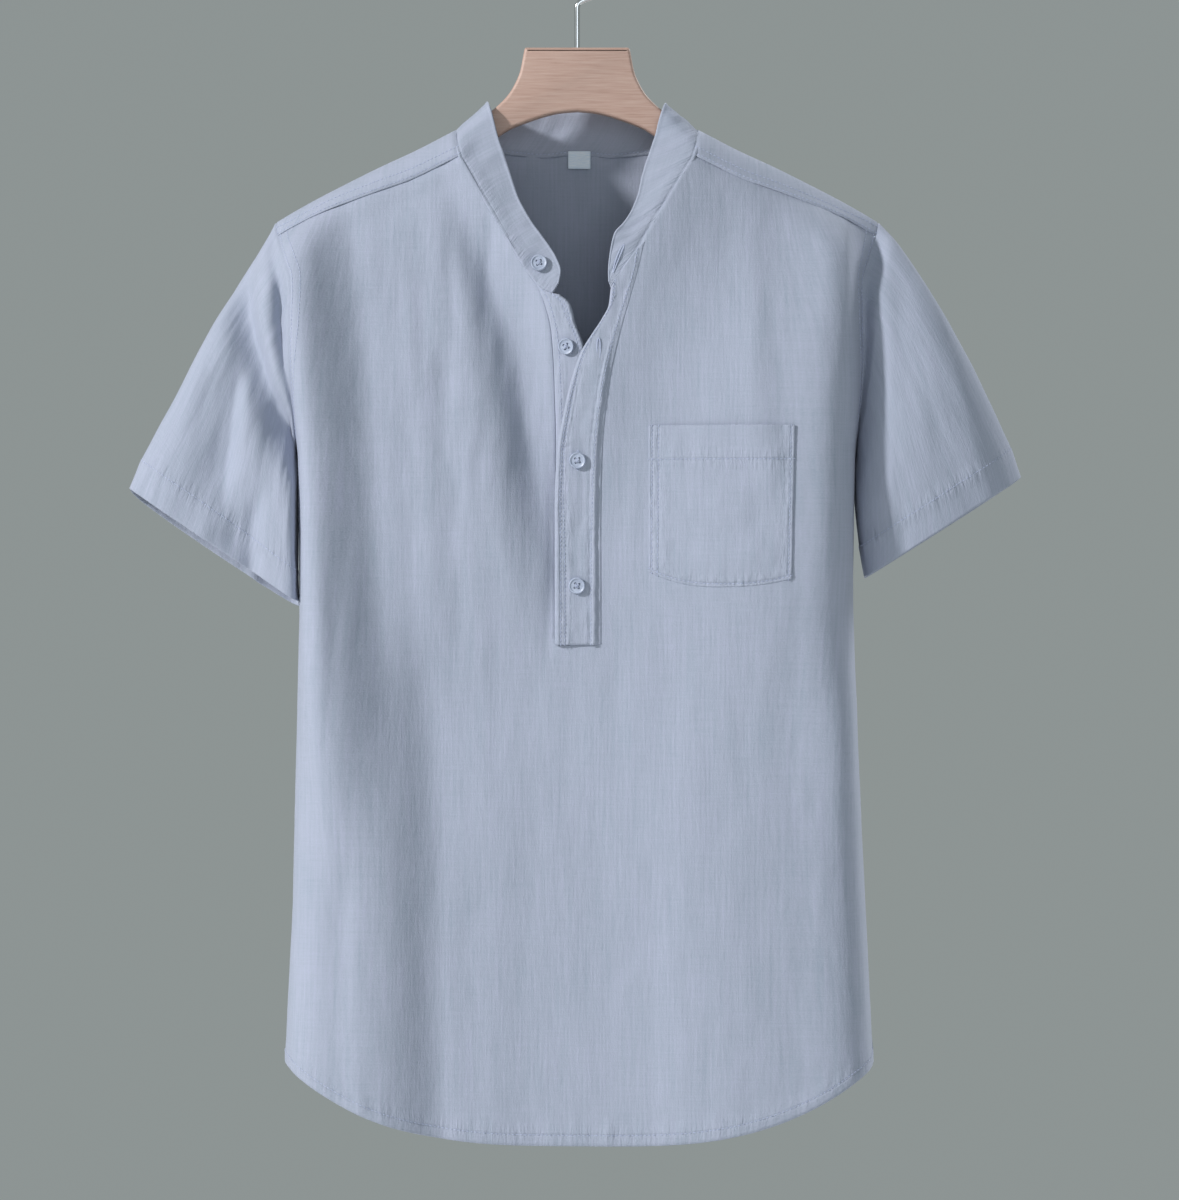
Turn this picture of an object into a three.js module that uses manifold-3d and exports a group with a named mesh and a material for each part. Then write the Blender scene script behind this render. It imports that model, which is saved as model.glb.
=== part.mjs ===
// A short-sleeved shirt with a mandarin collar, a half placket and a chest pocket, on a wooden hanger.
// Units are millimetres. +Z is up and the front faces -Y. The origin is the crown of the hook, where
// it rests on its rail, so everything hangs below it. "Left" and "right" are the viewer's.
import * as THREE from 'three';
import { mergeVertices } from 'three/addons/utils/BufferGeometryUtils.js';
import Module from 'manifold-3d';

const wasm = await Module();
wasm.setup();

// Driving sizes
const CLOTH = 1.2; // wall of one layer of cloth
const BAND = 1.5; // wall of the collar stand and the plackets, which are folded double
const SEAM = 0.5; // distance between the middles of two walls that are sewn edge to edge
const COLLAR_GAP = 1; // from the neckline to the collar's wall
const LAY = 0.45; // clear distance under a piece that is sewn onto a panel
const TOP_CURVE = 170; // drop over which the cloth rounds from the shoulder line to its full depth
const WIDE_POWER = 4.5; // how square the body's cross-section is across
const DEEP_POWER = 2.4; // and how square it is from front to back
const SECTION_FLATNESS = 0.27; // depth over half-width, for spacing points round a section
const SHOULDER_TIP_X = 218;
const SIDE_NECK_X = 88;
const UNDERARM_Z = -376;
const PLACKET_END_Z = -507.6;
const PLACKET_HALF = 15.5; // half-width of the closed placket
const HEM_FRONT = { low: -869.5, rise: 58 };
const HEM_BACK = { low: -867.5, rise: 56.5 };
const PLACKET_TOP_SAG = 2.4; // how far a placket's upper end curves to follow the collar's seam
const BUTTON_RADIUS = 6;
const BUTTON_HEIGHT = 2.6;

// The shoulder line, where the cloth folds over the hanger
const SHOULDER = [
  { x: 0, z: -98 },
  { x: 40, z: -112.5 },
  { x: 88, z: -136 },
  { x: 116, z: -150.5 },
  { x: 144, z: -163.5 },
  { x: 170, z: -176.5 },
  { x: 194, z: -189 },
  { x: 218, z: -203 },
  { x: 240, z: -218 },
];

// How far the shoulder seam lies in front of and below that line
const SEAM_DROP = [
  { x: 84, drop: 21.6 },
  { x: 118, drop: 20.5 },
  { x: 148, drop: 17.2 },
  { x: 183, drop: 12.6 },
  { x: 216, drop: 10.5 },
];

// Body sections: half-widths to each side, depths to front and back, and the armhole's inset
const BODY = [
  { z: -90, left: 224, right: 224, front: 54, back: 50, inset: 6 },
  { z: -203, left: 224, right: 224, front: 54, back: 50, inset: 6 },
  { z: -232, left: 218.5, right: 218.5, front: 54, back: 50, inset: 8 },
  { z: -244, left: 216, right: 216, front: 54, back: 50, inset: 9.5 },
  { z: -274, left: 213, right: 213, front: 54, back: 50, inset: 7 },
  { z: -302, left: 210.5, right: 210.5, front: 54, back: 50, inset: 4.5 },
  { z: -340, left: 206.5, right: 206, front: 54, back: 50, inset: 2 },
  { z: -376, left: 202.5, right: 201.5, front: 55, back: 51, inset: 0 },
  { z: -478, left: 201.5, right: 200, front: 57, back: 52, inset: 0 },
  { z: -560, left: 203, right: 203, front: 58, back: 53, inset: 0 },
  { z: -690, left: 206, right: 208.5, front: 61, back: 55, inset: 0 },
  { z: -811, left: 211.5, right: 214.5, front: 64, back: 58, inset: 0 },
  { z: -880, left: 213, right: 216.5, front: 65, back: 59, inset: 0 },
];

// Folds as troughs (negative depth) and ridges in a face of the body. Each runs through three places
// from the top down, and falls off over its own width to the left and to the right. A fold with a
// flap lies only in that side of the front opening.
const FRONT_FOLDS = [
  { name: 'left shoulder', x: [-183, -141, -146], z: [-203, -400, -610], left: 36, right: 9, depth: -10 },
  { name: 'left edge', x: [-200, -198, -198], z: [-230, -420, -620], left: 16, right: 14, depth: 3 },
  { name: 'below it', x: [-106, -142, -116], z: [-480, -640, -890], left: 24, right: 13, depth: -5.5 },
  { name: 'placket drag', x: [-80, -44, -17], z: [-186, -290, -520], left: 26, right: 9, depth: -7, flap: 'left' },
  { name: 'collar drag', x: [-96, -92, -96], z: [-190, -290, -400], left: 12, right: 7, depth: -2.5 },
  { name: 'shoulder drag', x: [-138, -134, -130], z: [-205, -260, -330], left: 10, right: 8, depth: -2 },
  { name: 'open flap', x: [78, 24, 2], z: [-150, -280, -440], left: 44, right: 40, depth: 9, flap: 'right' },
  { name: 'collar end', x: [-58, -14, -4], z: [-190, -262, -350], left: 18, right: 18, depth: 4, flap: 'left' },
  { name: 'right chest', x: [116, 118, 122], z: [-190, -260, -350], left: 9, right: 12, depth: -2.5 },
  { name: 'right arm', x: [176, 184, 188], z: [-200, -300, -460], left: 12, right: 12, depth: 3.5 },
  { name: 'right side', x: [150, 138, 158], z: [-520, -700, -890], left: 26, right: 18, depth: -4 },
  { name: 'right front', x: [92, 84, 104], z: [-500, -680, -890], left: 24, right: 26, depth: 3.5 },
  { name: 'middle', x: [10, 24, 38], z: [-560, -720, -890], left: 26, right: 22, depth: -3.5 },
  { name: 'left front', x: [-70, -58, -66], z: [-520, -700, -890], left: 24, right: 26, depth: 3 },
];
const BACK_FOLDS = [
  { name: 'left blade', x: [-150, -122, -132], z: [-230, -480, -890], left: 30, right: 14, depth: -9 },
  { name: 'left of middle', x: [-66, -48, -58], z: [-260, -520, -890], left: 18, right: 26, depth: -6 },
  { name: 'middle', x: [-4, 10, -2], z: [-190, -520, -890], left: 24, right: 20, depth: 5 },
  { name: 'right of middle', x: [52, 64, 50], z: [-330, -560, -890], left: 22, right: 16, depth: -6.5 },
  { name: 'right blade', x: [146, 128, 140], z: [-220, -460, -890], left: 14, right: 32, depth: -9.5 },
];

// Edges of the two sides of the front, from the shoulder down: the neckline, then the placket's
// seam, then the line below it. `v` spaces the rows of points.
const LEFT_INNER = [
  { v: 0, x: -84.6, z: -155.9 },
  { v: 0.06, x: -71.5, z: -179 },
  { v: 0.12, x: -57.5, z: -203.5 },
  { v: 0.18, x: -42.5, z: -228.5 },
  { v: 0.215, x: -32, z: -245.5 },
  { v: 0.25, x: -24.5, z: -262 },
  { v: 0.29, x: -19, z: -285 },
  { v: 0.33, x: -16.8, z: -318 },
  { v: 0.38, x: -PLACKET_HALF, z: -370 },
  { v: 0.5, x: -PLACKET_HALF, z: PLACKET_END_Z },
  { v: 1, x: -PLACKET_HALF, z: HEM_FRONT.low },
];
const RIGHT_INNER = [
  { v: 0, x: 84.6, z: -155.9 },
  { v: 0.06, x: 71.2, z: -178.5 },
  { v: 0.12, x: 58.5, z: -200 },
  { v: 0.18, x: 47, z: -220 },
  { v: 0.215, x: 42.5, z: -238 },
  { v: 0.25, x: 37, z: -258 },
  { v: 0.29, x: 29, z: -286 },
  { v: 0.33, x: 21.5, z: -320 },
  { v: 0.38, x: 16.6, z: -365 },
  { v: 0.42, x: PLACKET_HALF, z: -410 },
  { v: 0.5, x: PLACKET_HALF, z: PLACKET_END_Z },
  { v: 1, x: PLACKET_HALF, z: HEM_FRONT.low },
];
const FRONT_OUTER = [
  { v: 0, z: -212.6 },
  { v: 0.1, z: -262 },
  { v: 0.2, z: -330 },
  { v: 0.25, z: -359 },
  { v: 0.3, z: UNDERARM_Z },
  { v: 0.4, z: -438 },
  { v: 0.5, z: -503 },
  { v: 1, z: HEM_FRONT.low + HEM_FRONT.rise },
];
const BACK_OUTER = [
  { v: 0, z: -203 },
  { v: 0.1, z: -252 },
  { v: 0.2, z: -333 },
  { v: 0.24, z: -360 },
  { v: 0.28, z: UNDERARM_Z },
  { v: 0.5, z: -520 },
  { v: 1, z: HEM_BACK.low + HEM_BACK.rise },
];

// Free edges of the plackets, from the collar down to the closed part
const UNDER_EDGE = [
  { v: 0, x: -13, z: -257.4 },
  { v: 0.05, x: -5.5, z: -264.2 },
  { v: 0.11, x: -1.4, z: -279 },
  { v: 0.17, x: 4.2, z: -293.5 },
  { v: 0.26, x: 9, z: -315 },
  { v: 0.4, x: 13, z: -350 },
  { v: 0.55, x: 14.2, z: -390 },
  { v: 1, x: 14.2, z: PLACKET_END_Z },
];
const OVER_EDGE = [
  { v: 0, x: 24.6, z: -254.2 },
  { v: 0.06, x: 23.2, z: -266 },
  { v: 0.12, x: 17.6, z: -277 },
  { v: 0.18, x: 10.2, z: -288 },
  { v: 0.25, x: 2.6, z: -301 },
  { v: 0.34, x: -3.6, z: -320 },
  { v: 0.44, x: -9, z: -344 },
  { v: 0.56, x: -13.8, z: -374 },
  { v: 0.7, x: -15.3, z: -412 },
  { v: 1, x: -15.3, z: PLACKET_END_Z },
];

// The back neckline, as an angle round the shoulder's curve
const BACK_NECK = [
  { x: 0, angle: 0.8 },
  { x: 25, angle: 0.745 },
  { x: 50, angle: 0.635 },
  { x: 70, angle: 0.5 },
  { x: 82, angle: 0.32 },
  { x: 87, angle: 0.13 },
  { x: 88, angle: 0 },
];

// The collar stand, from its buttoned end round the back to its buttonhole end. `seam` is a place on
// the neckline, in front of the neck (x, z) or behind it (x, angle). `top` is the free edge (x, z),
// and `lean` is how far that edge stands behind the seam.
const COLLAR = [
  { seam: [-17.9, -256.5], top: [-13.6, -249.5], lean: 1 },
  { seam: [-22.5, -253.5], top: [-12.1, -240], lean: 2 },
  { seam: [-29, -248], top: [-15.4, -230.5], lean: 4 },
  { seam: [-36.5, -238], top: [-21.2, -221], lean: 6 },
  { seam: [-44.5, -225.3], top: [-29, -210.5], lean: 8 },
  { seam: [-53.2, -211], top: [-36.9, -198.5], lean: 9.5 },
  { seam: [-62.5, -195], top: [-43, -186.5], lean: 10.5 },
  { seam: [-71.5, -179], top: [-48.8, -169.5], lean: 11 },
  { seam: [-79, -165.5], top: [-53.8, -154.5], lean: 11 },
  { seam: [-84.6, -155.9], top: [-58.2, -141], lean: 11 },
  { seam: [-87.2, -145.2], top: [-62.6, -122.5], lean: 7.5 },
  { seam: [-87.8, -138.4], top: [-64.2, -117.4], lean: 3.5 },
  { seam: [-88, -136], top: [-64.8, -116], lean: 1.5 },
  { behind: [-87, 0.13], top: [-65, -117.5], lean: 2.5 },
  { behind: [-82, 0.32], top: [-64, -118.5], lean: 3.5 },
  { behind: [-70, 0.5], top: [-57, -122], lean: 2 },
  { behind: [-50, 0.635], top: [-42, -121], lean: 1 },
  { behind: [-25, 0.745], top: [-21.5, -120], lean: 0 },
  { behind: [0, 0.8], top: [0, -120], lean: -1 },
  { behind: [25, 0.745], top: [21.5, -120], lean: 0 },
  { behind: [50, 0.635], top: [42, -121], lean: 1 },
  { behind: [70, 0.5], top: [57, -122], lean: 2 },
  { behind: [82, 0.32], top: [64, -118.5], lean: 3.5 },
  { behind: [87, 0.13], top: [64.5, -118.2], lean: 2.5 },
  { seam: [88, -136], top: [64, -116.8], lean: 1.5 },
  { seam: [87.8, -138.4], top: [63.4, -118], lean: 3.5 },
  { seam: [87.2, -145.2], top: [61.8, -123], lean: 7.5 },
  { seam: [84.6, -155.9], top: [57, -141], lean: 11 },
  { seam: [79, -165.3], top: [52.8, -154.5], lean: 11 },
  { seam: [71.2, -178.5], top: [47.8, -169.5], lean: 10 },
  { seam: [62.5, -193.3], top: [44.4, -185], lean: 8 },
  { seam: [54.5, -207], top: [39, -199], lean: 6 },
  { seam: [47, -220], top: [33, -207.6], lean: 4 },
  { seam: [39.5, -232.5], top: [27.5, -213.8], lean: 2.5 },
  { seam: [32, -244.5], top: [24.4, -226], lean: 1.5 },
  { seam: [27.5, -251], top: [22.9, -240], lean: 1 },
  { seam: [24.9, -253.8], top: [23.2, -249], lean: 0.5 },
];

// Sleeves: the outer fold and the underarm line at stations `s` from armhole to cuff, the half-depth,
// and how far the back of the cuff hangs below its front
const SLEEVES = {
  left: {
    sign: -1,
    drop: 7,
    gap: 1.4,
    lines: [
      { s: 0, outX: 218, outZ: -203, inX: 204.6, inZ: -376, depth: 27 },
      { s: 0.1, outX: 229.5, outZ: -222.5, inX: 205.2, inZ: -387, depth: 32 },
      { s: 0.3, outX: 253.5, outZ: -260, inX: 205.6, inZ: -408, depth: 36 },
      { s: 0.5, outX: 275.2, outZ: -297.2, inX: 205.8, inZ: -428, depth: 37 },
      { s: 0.7, outX: 295.2, outZ: -337, inX: 205.9, inZ: -448, depth: 35 },
      { s: 0.88, outX: 314.5, outZ: -372.5, inX: 206, inZ: -466, depth: 32 },
      { s: 1, outX: 325.2, outZ: -395.9, inX: 206, inZ: -478, depth: 31 },
    ],
    folds: [
      { name: 'cap', x: [-246, -228, -204], z: [-228, -340, -412], left: 20, right: 9, depth: -8 },
      { name: 'seam ridge', x: [-222, -219, -212], z: [-225, -290, -370], left: 8, right: 8, depth: 4 },
      { name: 'cuff', x: [-250, -262, -276], z: [-330, -380, -425], left: 20, right: 12, depth: -4.5 },
      { name: 'inner cuff', x: [-228, -232, -234], z: [-390, -425, -460], left: 10, right: 7, depth: -3 },
    ],
  },
  right: {
    sign: 1,
    drop: 3,
    gap: 1.4,
    lines: [
      { s: 0, outX: 218, outZ: -203, inX: 203.6, inZ: -376, depth: 27 },
      { s: 0.1, outX: 231.5, outZ: -217.5, inX: 204.2, inZ: -385, depth: 33 },
      { s: 0.3, outX: 257, outZ: -256, inX: 205, inZ: -402, depth: 38 },
      { s: 0.5, outX: 277.5, outZ: -292.5, inX: 206, inZ: -419, depth: 39 },
      { s: 0.7, outX: 297, outZ: -330, inX: 207.4, inZ: -435, depth: 37 },
      { s: 0.88, outX: 313.5, outZ: -365.5, inX: 209, inZ: -450, depth: 34 },
      { s: 1, outX: 321.5, outZ: -388.5, inX: 210.5, inZ: -460, depth: 32 },
    ],
    folds: [
      { name: 'seam ridge', x: [217, 214, 208], z: [-226, -300, -430], left: 8, right: 10, depth: 5 },
      { name: 'cap', x: [234, 240, 244], z: [-226, -300, -370], left: 12, right: 16, depth: -3 },
      { name: 'outer', x: [250, 276, 292], z: [-290, -350, -410], left: 18, right: 18, depth: 3 },
    ],
  },
};

// The chest pocket
const POCKET = { left: 51.8, right: 155.6, taper: 2.4, top: -352.6, sideLeft: -457, sideRight: -462, low: -468, gape: 1.2 };

// Where each button lies: on the collar (station, share of its height) or on a placket (x, z)
const BUTTONS = [
  { name: 'button_1_collar', collar: [2.6, 0.42] },
  { name: 'button_2', place: [-6.6, -294.8], flap: 'left' },
  { name: 'button_3', place: [1, -377], flap: 'right' },
  { name: 'button_4', place: [0.6, -467], flap: 'right' },
];

// Grid densities
const GRID = { side: 16, rows: 40, armRows: 12, middle: 2, shoulder: 6, strip: 3, sleeveRows: 13 };
const BACK_ROWS = [0, 0.0022, 0.008, 0.018, 0.032, 0.05, 0.075, 0.105, 0.14, 0.175, 0.21, 0.24, 0.262, 0.28,
  ...Array.from({ length: 15 }, (_, k) => 0.28 + 0.048 * (k + 1))];
const BACK_ARM_ROWS = 13;

const COLOURS = { cloth: 0xaab2cc, button: 0xb9bfd0, label: 0xe6ecf2, wood: 0xc9a18c, metal: 0xd5d8da };

// Reads one column of a table at a value of another, along a smooth curve with no overshoot.
function read(table, from, to, at) {
  const last = table.length - 1;
  const up = Math.sign(table[last][from] - table[0][from]);
  const value = up > 0
    ? THREE.MathUtils.clamp(at, table[0][from], table[last][from])
    : THREE.MathUtils.clamp(at, table[last][from], table[0][from]);
  let k = 0;
  while (k < last - 1 && up * table[k + 1][from] < up * value) k++;
  const rise = (i) => (table[i + 1][to] - table[i][to]) / (table[i + 1][from] - table[i][from]);
  const slope = (i) => {
    if (i === 0) return rise(0);
    if (i === last) return rise(last - 1);
    const before = rise(i - 1);
    const after = rise(i);
    return before * after <= 0 ? 0 : (2 * before * after) / (before + after);
  };
  const span = table[k + 1][from] - table[k][from];
  const t = (value - table[k][from]) / span;
  const t2 = t * t;
  const t3 = t2 * t;
  return (2 * t3 - 3 * t2 + 1) * table[k][to] + (t3 - 2 * t2 + t) * span * slope(k)
    + (3 * t2 - 2 * t3) * table[k + 1][to] + (t3 - t2) * span * slope(k + 1);
}

// The body's cross-section as shares of its half-width and depth, spaced by length round it.
function sectionTable(steps = 160) {
  const rows = [{ arc: 0, wide: 0, deep: 1 }];
  for (let i = 1; i <= steps; i++) {
    const angle = (i / steps) * Math.PI / 2;
    const wide = Math.sin(angle) ** (2 / WIDE_POWER);
    const deep = Math.max(0, Math.cos(angle)) ** (2 / DEEP_POWER);
    const before = rows[i - 1];
    const step = Math.hypot(wide - before.wide, SECTION_FLATNESS * (deep - before.deep));
    rows.push({ arc: before.arc + step, wide, deep });
  }
  const whole = rows[steps].arc;
  return rows.map((row) => ({ ...row, arc: row.arc / whole }));
}
const SECTION = sectionTable();

function sectionAt(from, to, at) {
  let k = 0;
  while (k < SECTION.length - 2 && SECTION[k + 1][from] < at) k++;
  const t = (at - SECTION[k][from]) / (SECTION[k + 1][from] - SECTION[k][from]);
  return THREE.MathUtils.lerp(SECTION[k][to], SECTION[k + 1][to], THREE.MathUtils.clamp(t, 0, 1));
}

const shoulderZ = (x) => read(SHOULDER, 'x', 'z', Math.abs(x));
const halfWidth = (z, x) => read(BODY, 'z', x < 0 ? 'left' : 'right', z);
const SIDE_ARC = 1 - SEAM / 500; // where a panel ends beside the side seam
const armholeX = (z, sign) => halfWidth(z, sign) - read(BODY, 'z', 'inset', z);

// A point of the body has an `arc`, -1 to 1 across a face, and an `angle` round the shoulder's curve,
// 0 on the shoulder line and growing down the face.
const dropAt = (angle) => (Math.abs(angle) < Math.PI / 2
  ? TOP_CURVE * (1 - Math.cos(angle))
  : TOP_CURVE * (1 + Math.abs(angle) - Math.PI / 2));
const angleAt = (drop) => (drop < TOP_CURVE
  ? Math.acos(THREE.MathUtils.clamp(1 - drop / TOP_CURVE, -1, 1))
  : Math.PI / 2 + drop / TOP_CURVE - 1);

function arcAt(x, z) {
  return Math.sign(x) * sectionAt('wide', 'arc', Math.min(1, Math.abs(x) / halfWidth(z, x)));
}

function placeAt(x, z) {
  return { arc: arcAt(x, z), angle: angleAt(Math.max(0, shoulderZ(x) - z)) };
}

// How far the folds move the cloth outwards at x, z.
function foldDepth(folds, x, z, flap) {
  let depth = 0;
  for (const fold of folds) {
    if (fold.flap && fold.flap !== flap) continue;
    const t = (z - fold.z[0]) / (fold.z[2] - fold.z[0]);
    if (t <= 0 || t >= 1) continue;
    const through = (fold.z[1] - fold.z[0]) / (fold.z[2] - fold.z[0]);
    const bend = t < through ? 0.5 * t / through : 0.5 + 0.5 * (t - through) / (1 - through);
    const centre = (1 - bend) ** 2 * fold.x[0] + 2 * bend * (1 - bend) * (2 * fold.x[1] - (fold.x[0] + fold.x[2]) / 2)
      + bend ** 2 * fold.x[2];
    const away = (x - centre) / (x < centre ? fold.left : fold.right);
    const runsToHem = fold.z[2] < HEM_FRONT.low;
    const fade = THREE.MathUtils.smoothstep(t, 0, 0.3) * (runsToHem ? 1 : THREE.MathUtils.smoothstep(1 - t, 0, 0.4));
    depth += fold.depth * fade * Math.exp(-away * away);
  }
  return depth;
}

// The middle of the body's cloth. `face` is -1 for the front and 1 for the back.
function bodyPoint(face, arc, angle, flap) {
  let z = shoulderZ(0) - dropAt(angle);
  let x = 0;
  for (let pass = 0; pass < 6; pass++) {
    x = Math.sign(arc) * halfWidth(z, arc) * sectionAt('arc', 'wide', Math.abs(arc));
    z = shoulderZ(x) - dropAt(angle);
  }
  const toward = angle < 0 ? -face : face;
  const round = Math.sin(Math.min(Math.abs(angle), Math.PI / 2));
  const side = sectionAt('arc', 'deep', Math.abs(arc));
  const depth = read(BODY, 'z', toward < 0 ? 'front' : 'back', z) * round * side;
  const fold = foldDepth(toward < 0 ? FRONT_FOLDS : BACK_FOLDS, x, z, flap);
  const held = THREE.MathUtils.smoothstep(1 - Math.abs(arc), 0, 0.2) * THREE.MathUtils.smoothstep(round, 0.25, 0.65);
  return new THREE.Vector3(x, toward * (depth + fold * held), z);
}

function frontPoint(x, z, flap) {
  const { arc, angle } = placeAt(x, z);
  return bodyPoint(-1, arc, angle, flap);
}

// Outward normal of the front at x, z.
function frontNormal(x, z, flap, step = 2) {
  const across = frontPoint(x + step, z, flap).sub(frontPoint(x - step, z, flap));
  const down = frontPoint(x, z - step, flap).sub(frontPoint(x, z + step, flap));
  return down.cross(across).normalize();
}

// A surface spanned between four edges, each a function of 0 to 1 that gives { arc, angle }.
function spanned({ left, right, top, bottom }) {
  const mix = (key, u, v) => {
    const corner = (f, t) => f(t)[key];
    const edges = (1 - u) * left(v)[key] + u * right(v)[key] + (1 - v) * top(u)[key] + v * bottom(u)[key];
    const corners = (1 - u) * (1 - v) * corner(top, 0) + u * (1 - v) * corner(top, 1)
      + (1 - u) * v * corner(bottom, 0) + u * v * corner(bottom, 1);
    return edges - corners;
  };
  return (u, v) => ({ arc: mix('arc', u, v), angle: mix('angle', u, v) });
}

// A grid of points: `columns` by `rows` cells of the function `at(u, v)`.
function grid(columns, rows, at) {
  const lines = [];
  for (let j = 0; j <= rows; j++) {
    const line = [];
    for (let i = 0; i <= columns; i++) line.push(at(i / columns, j / rows));
    lines.push(line);
  }
  return lines;
}

// Thickens grids that share edges into one closed wall. `outward` is 1 where the outside is on the
// side of (down the rows) x (along the columns), and -1 where it is on the other side.
function wall(grids, thickness, outward, wrap = false) {
  const points = [];
  const known = new Map();
  const add = (p) => {
    const key = [p.x, p.y, p.z].map((c) => Math.round(c * 500)).join();
    if (!known.has(key)) known.set(key, points.push(p) - 1);
    return known.get(key);
  };
  const faces = [];
  const face = (a, b, c) => {
    if (a !== b && b !== c && c !== a) faces.push(outward > 0 ? [a, b, c] : [a, c, b]);
  };
  for (const lines of grids) {
    const ids = lines.map((line) => line.map(add));
    for (let j = 0; j + 1 < ids.length; j++) {
      const columns = ids[j].length - 1;
      for (let i = 0; i < columns; i++) {
        const [a, b, c, d] = [ids[j][i], ids[j][i + 1], ids[j + 1][i + 1], ids[j + 1][i]];
        const across = points[a].distanceTo(points[c]) <= points[b].distanceTo(points[d]);
        if (across) {
          face(a, d, c);
          face(a, c, b);
        } else {
          face(a, d, b);
          face(b, d, c);
        }
      }
    }
  }
  return thicken(points, faces, thickness, wrap);
}

function thicken(points, faces, thickness) {
  const normals = points.map(() => new THREE.Vector3());
  const edges = new Map();
  for (const corners of faces) {
    const [a, b, c] = corners.map((i) => points[i]);
    const normal = b.clone().sub(a).cross(c.clone().sub(a));
    corners.forEach((i) => normals[i].add(normal));
    corners.forEach((from, k) => {
      const to = corners[(k + 1) % 3];
      const back = `${to},${from}`;
      if (edges.has(back)) edges.delete(back);
      else edges.set(`${from},${to}`, [from, to]);
    });
  }
  const positions = [];
  for (const side of [1, -1]) {
    points.forEach((p, i) => positions.push(p.clone().addScaledVector(normals[i].normalize(), side * thickness / 2)));
  }
  const inner = points.length;
  const indices = [];
  for (const [a, b, c] of faces) indices.push(a, b, c, inner + a, inner + c, inner + b);
  for (const [from, to] of edges.values()) indices.push(to, from, inner + from, to, inner + from, inner + to);
  const geometry = new THREE.BufferGeometry().setFromPoints(positions);
  geometry.setIndex(indices);
  return geometry;
}

// The seam over one shoulder, as points spread from the armhole to the neck. Both panels end at it.
function shoulderSeam(sign, side) {
  const armX = armholeX(FRONT_OUTER[0].z, sign);
  const points = [];
  for (let i = 0; i <= GRID.shoulder; i++) {
    const x = THREE.MathUtils.lerp(armX, Math.abs(LEFT_INNER[0].x), i / GRID.shoulder);
    const drop = read(SEAM_DROP, 'x', 'drop', x) + side * SEAM / 2;
    const { arc, angle } = placeAt(sign * x, shoulderZ(x) - drop);
    points.push(bodyPoint(-1, arc, angle));
  }
  return points;
}

function alongPolyline(points, share) {
  const k = Math.min(Math.floor(share * (points.length - 1)), points.length - 2);
  return points[k].clone().lerp(points[k + 1], share * (points.length - 1) - k);
}

function hemZ(hem, x) {
  return hem.low + hem.rise * Math.min(1, Math.abs(x) / halfWidth(hem.low, x)) ** 3;
}

// The armhole and side seam as a function down one side of a face
function sideEdge(table, sign) {
  return (v) => {
    const z = read(table, 'v', 'z', v);
    const place = placeAt(sign * armholeX(z, sign), z);
    return z > UNDERARM_Z ? place : { arc: sign * SIDE_ARC, angle: place.angle };
  };
}

// Front
function frontSide(sign) {
  const flap = sign < 0 ? 'left' : 'right';
  const table = sign < 0 ? LEFT_INNER : RIGHT_INNER;
  const inner = (v) => placeAt(read(table, 'v', 'x', v), read(table, 'v', 'z', v));
  const outer = sideEdge(FRONT_OUTER, sign);
  const shoulder = (share) => {
    const x = THREE.MathUtils.lerp(armholeX(FRONT_OUTER[0].z, sign), Math.abs(table[0].x), share);
    return placeAt(sign * x, shoulderZ(x) - read(SEAM_DROP, 'x', 'drop', x));
  };
  const hem = (share) => {
    const arc = THREE.MathUtils.lerp(outer(1).arc, inner(1).arc, share);
    const x = sign * halfWidth(HEM_FRONT.low, sign) * sectionAt('arc', 'wide', Math.abs(arc));
    return { arc, angle: angleAt(shoulderZ(x) - hemZ(HEM_FRONT, x)) };
  };
  const place = sign < 0
    ? spanned({ left: outer, right: inner, top: shoulder, bottom: hem })
    : spanned({ left: inner, right: outer, top: (u) => shoulder(1 - u), bottom: (u) => hem(1 - u) });
  const lines = grid(GRID.side, GRID.rows, (u, v) => {
    const { arc, angle } = place(u, v);
    return bodyPoint(-1, arc, angle, flap);
  });
  const seam = shoulderSeam(sign, 1);
  lines[0] = lines[0].map((p, i) => alongPolyline(seam, sign < 0 ? i / GRID.side : 1 - i / GRID.side));
  return lines;
}

// The cloth between the two sides, below the placket
function frontMiddle(left, right) {
  const middle = [];
  for (let j = GRID.rows / 2; j <= GRID.rows; j++) {
    const from = left[j][GRID.side];
    const to = right[j][0];
    const line = [from];
    for (let i = 1; i < GRID.middle; i++) {
      line.push(frontPoint(THREE.MathUtils.lerp(from.x, to.x, i / GRID.middle), from.z));
    }
    middle.push([...line, to]);
  }
  return middle;
}

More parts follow.
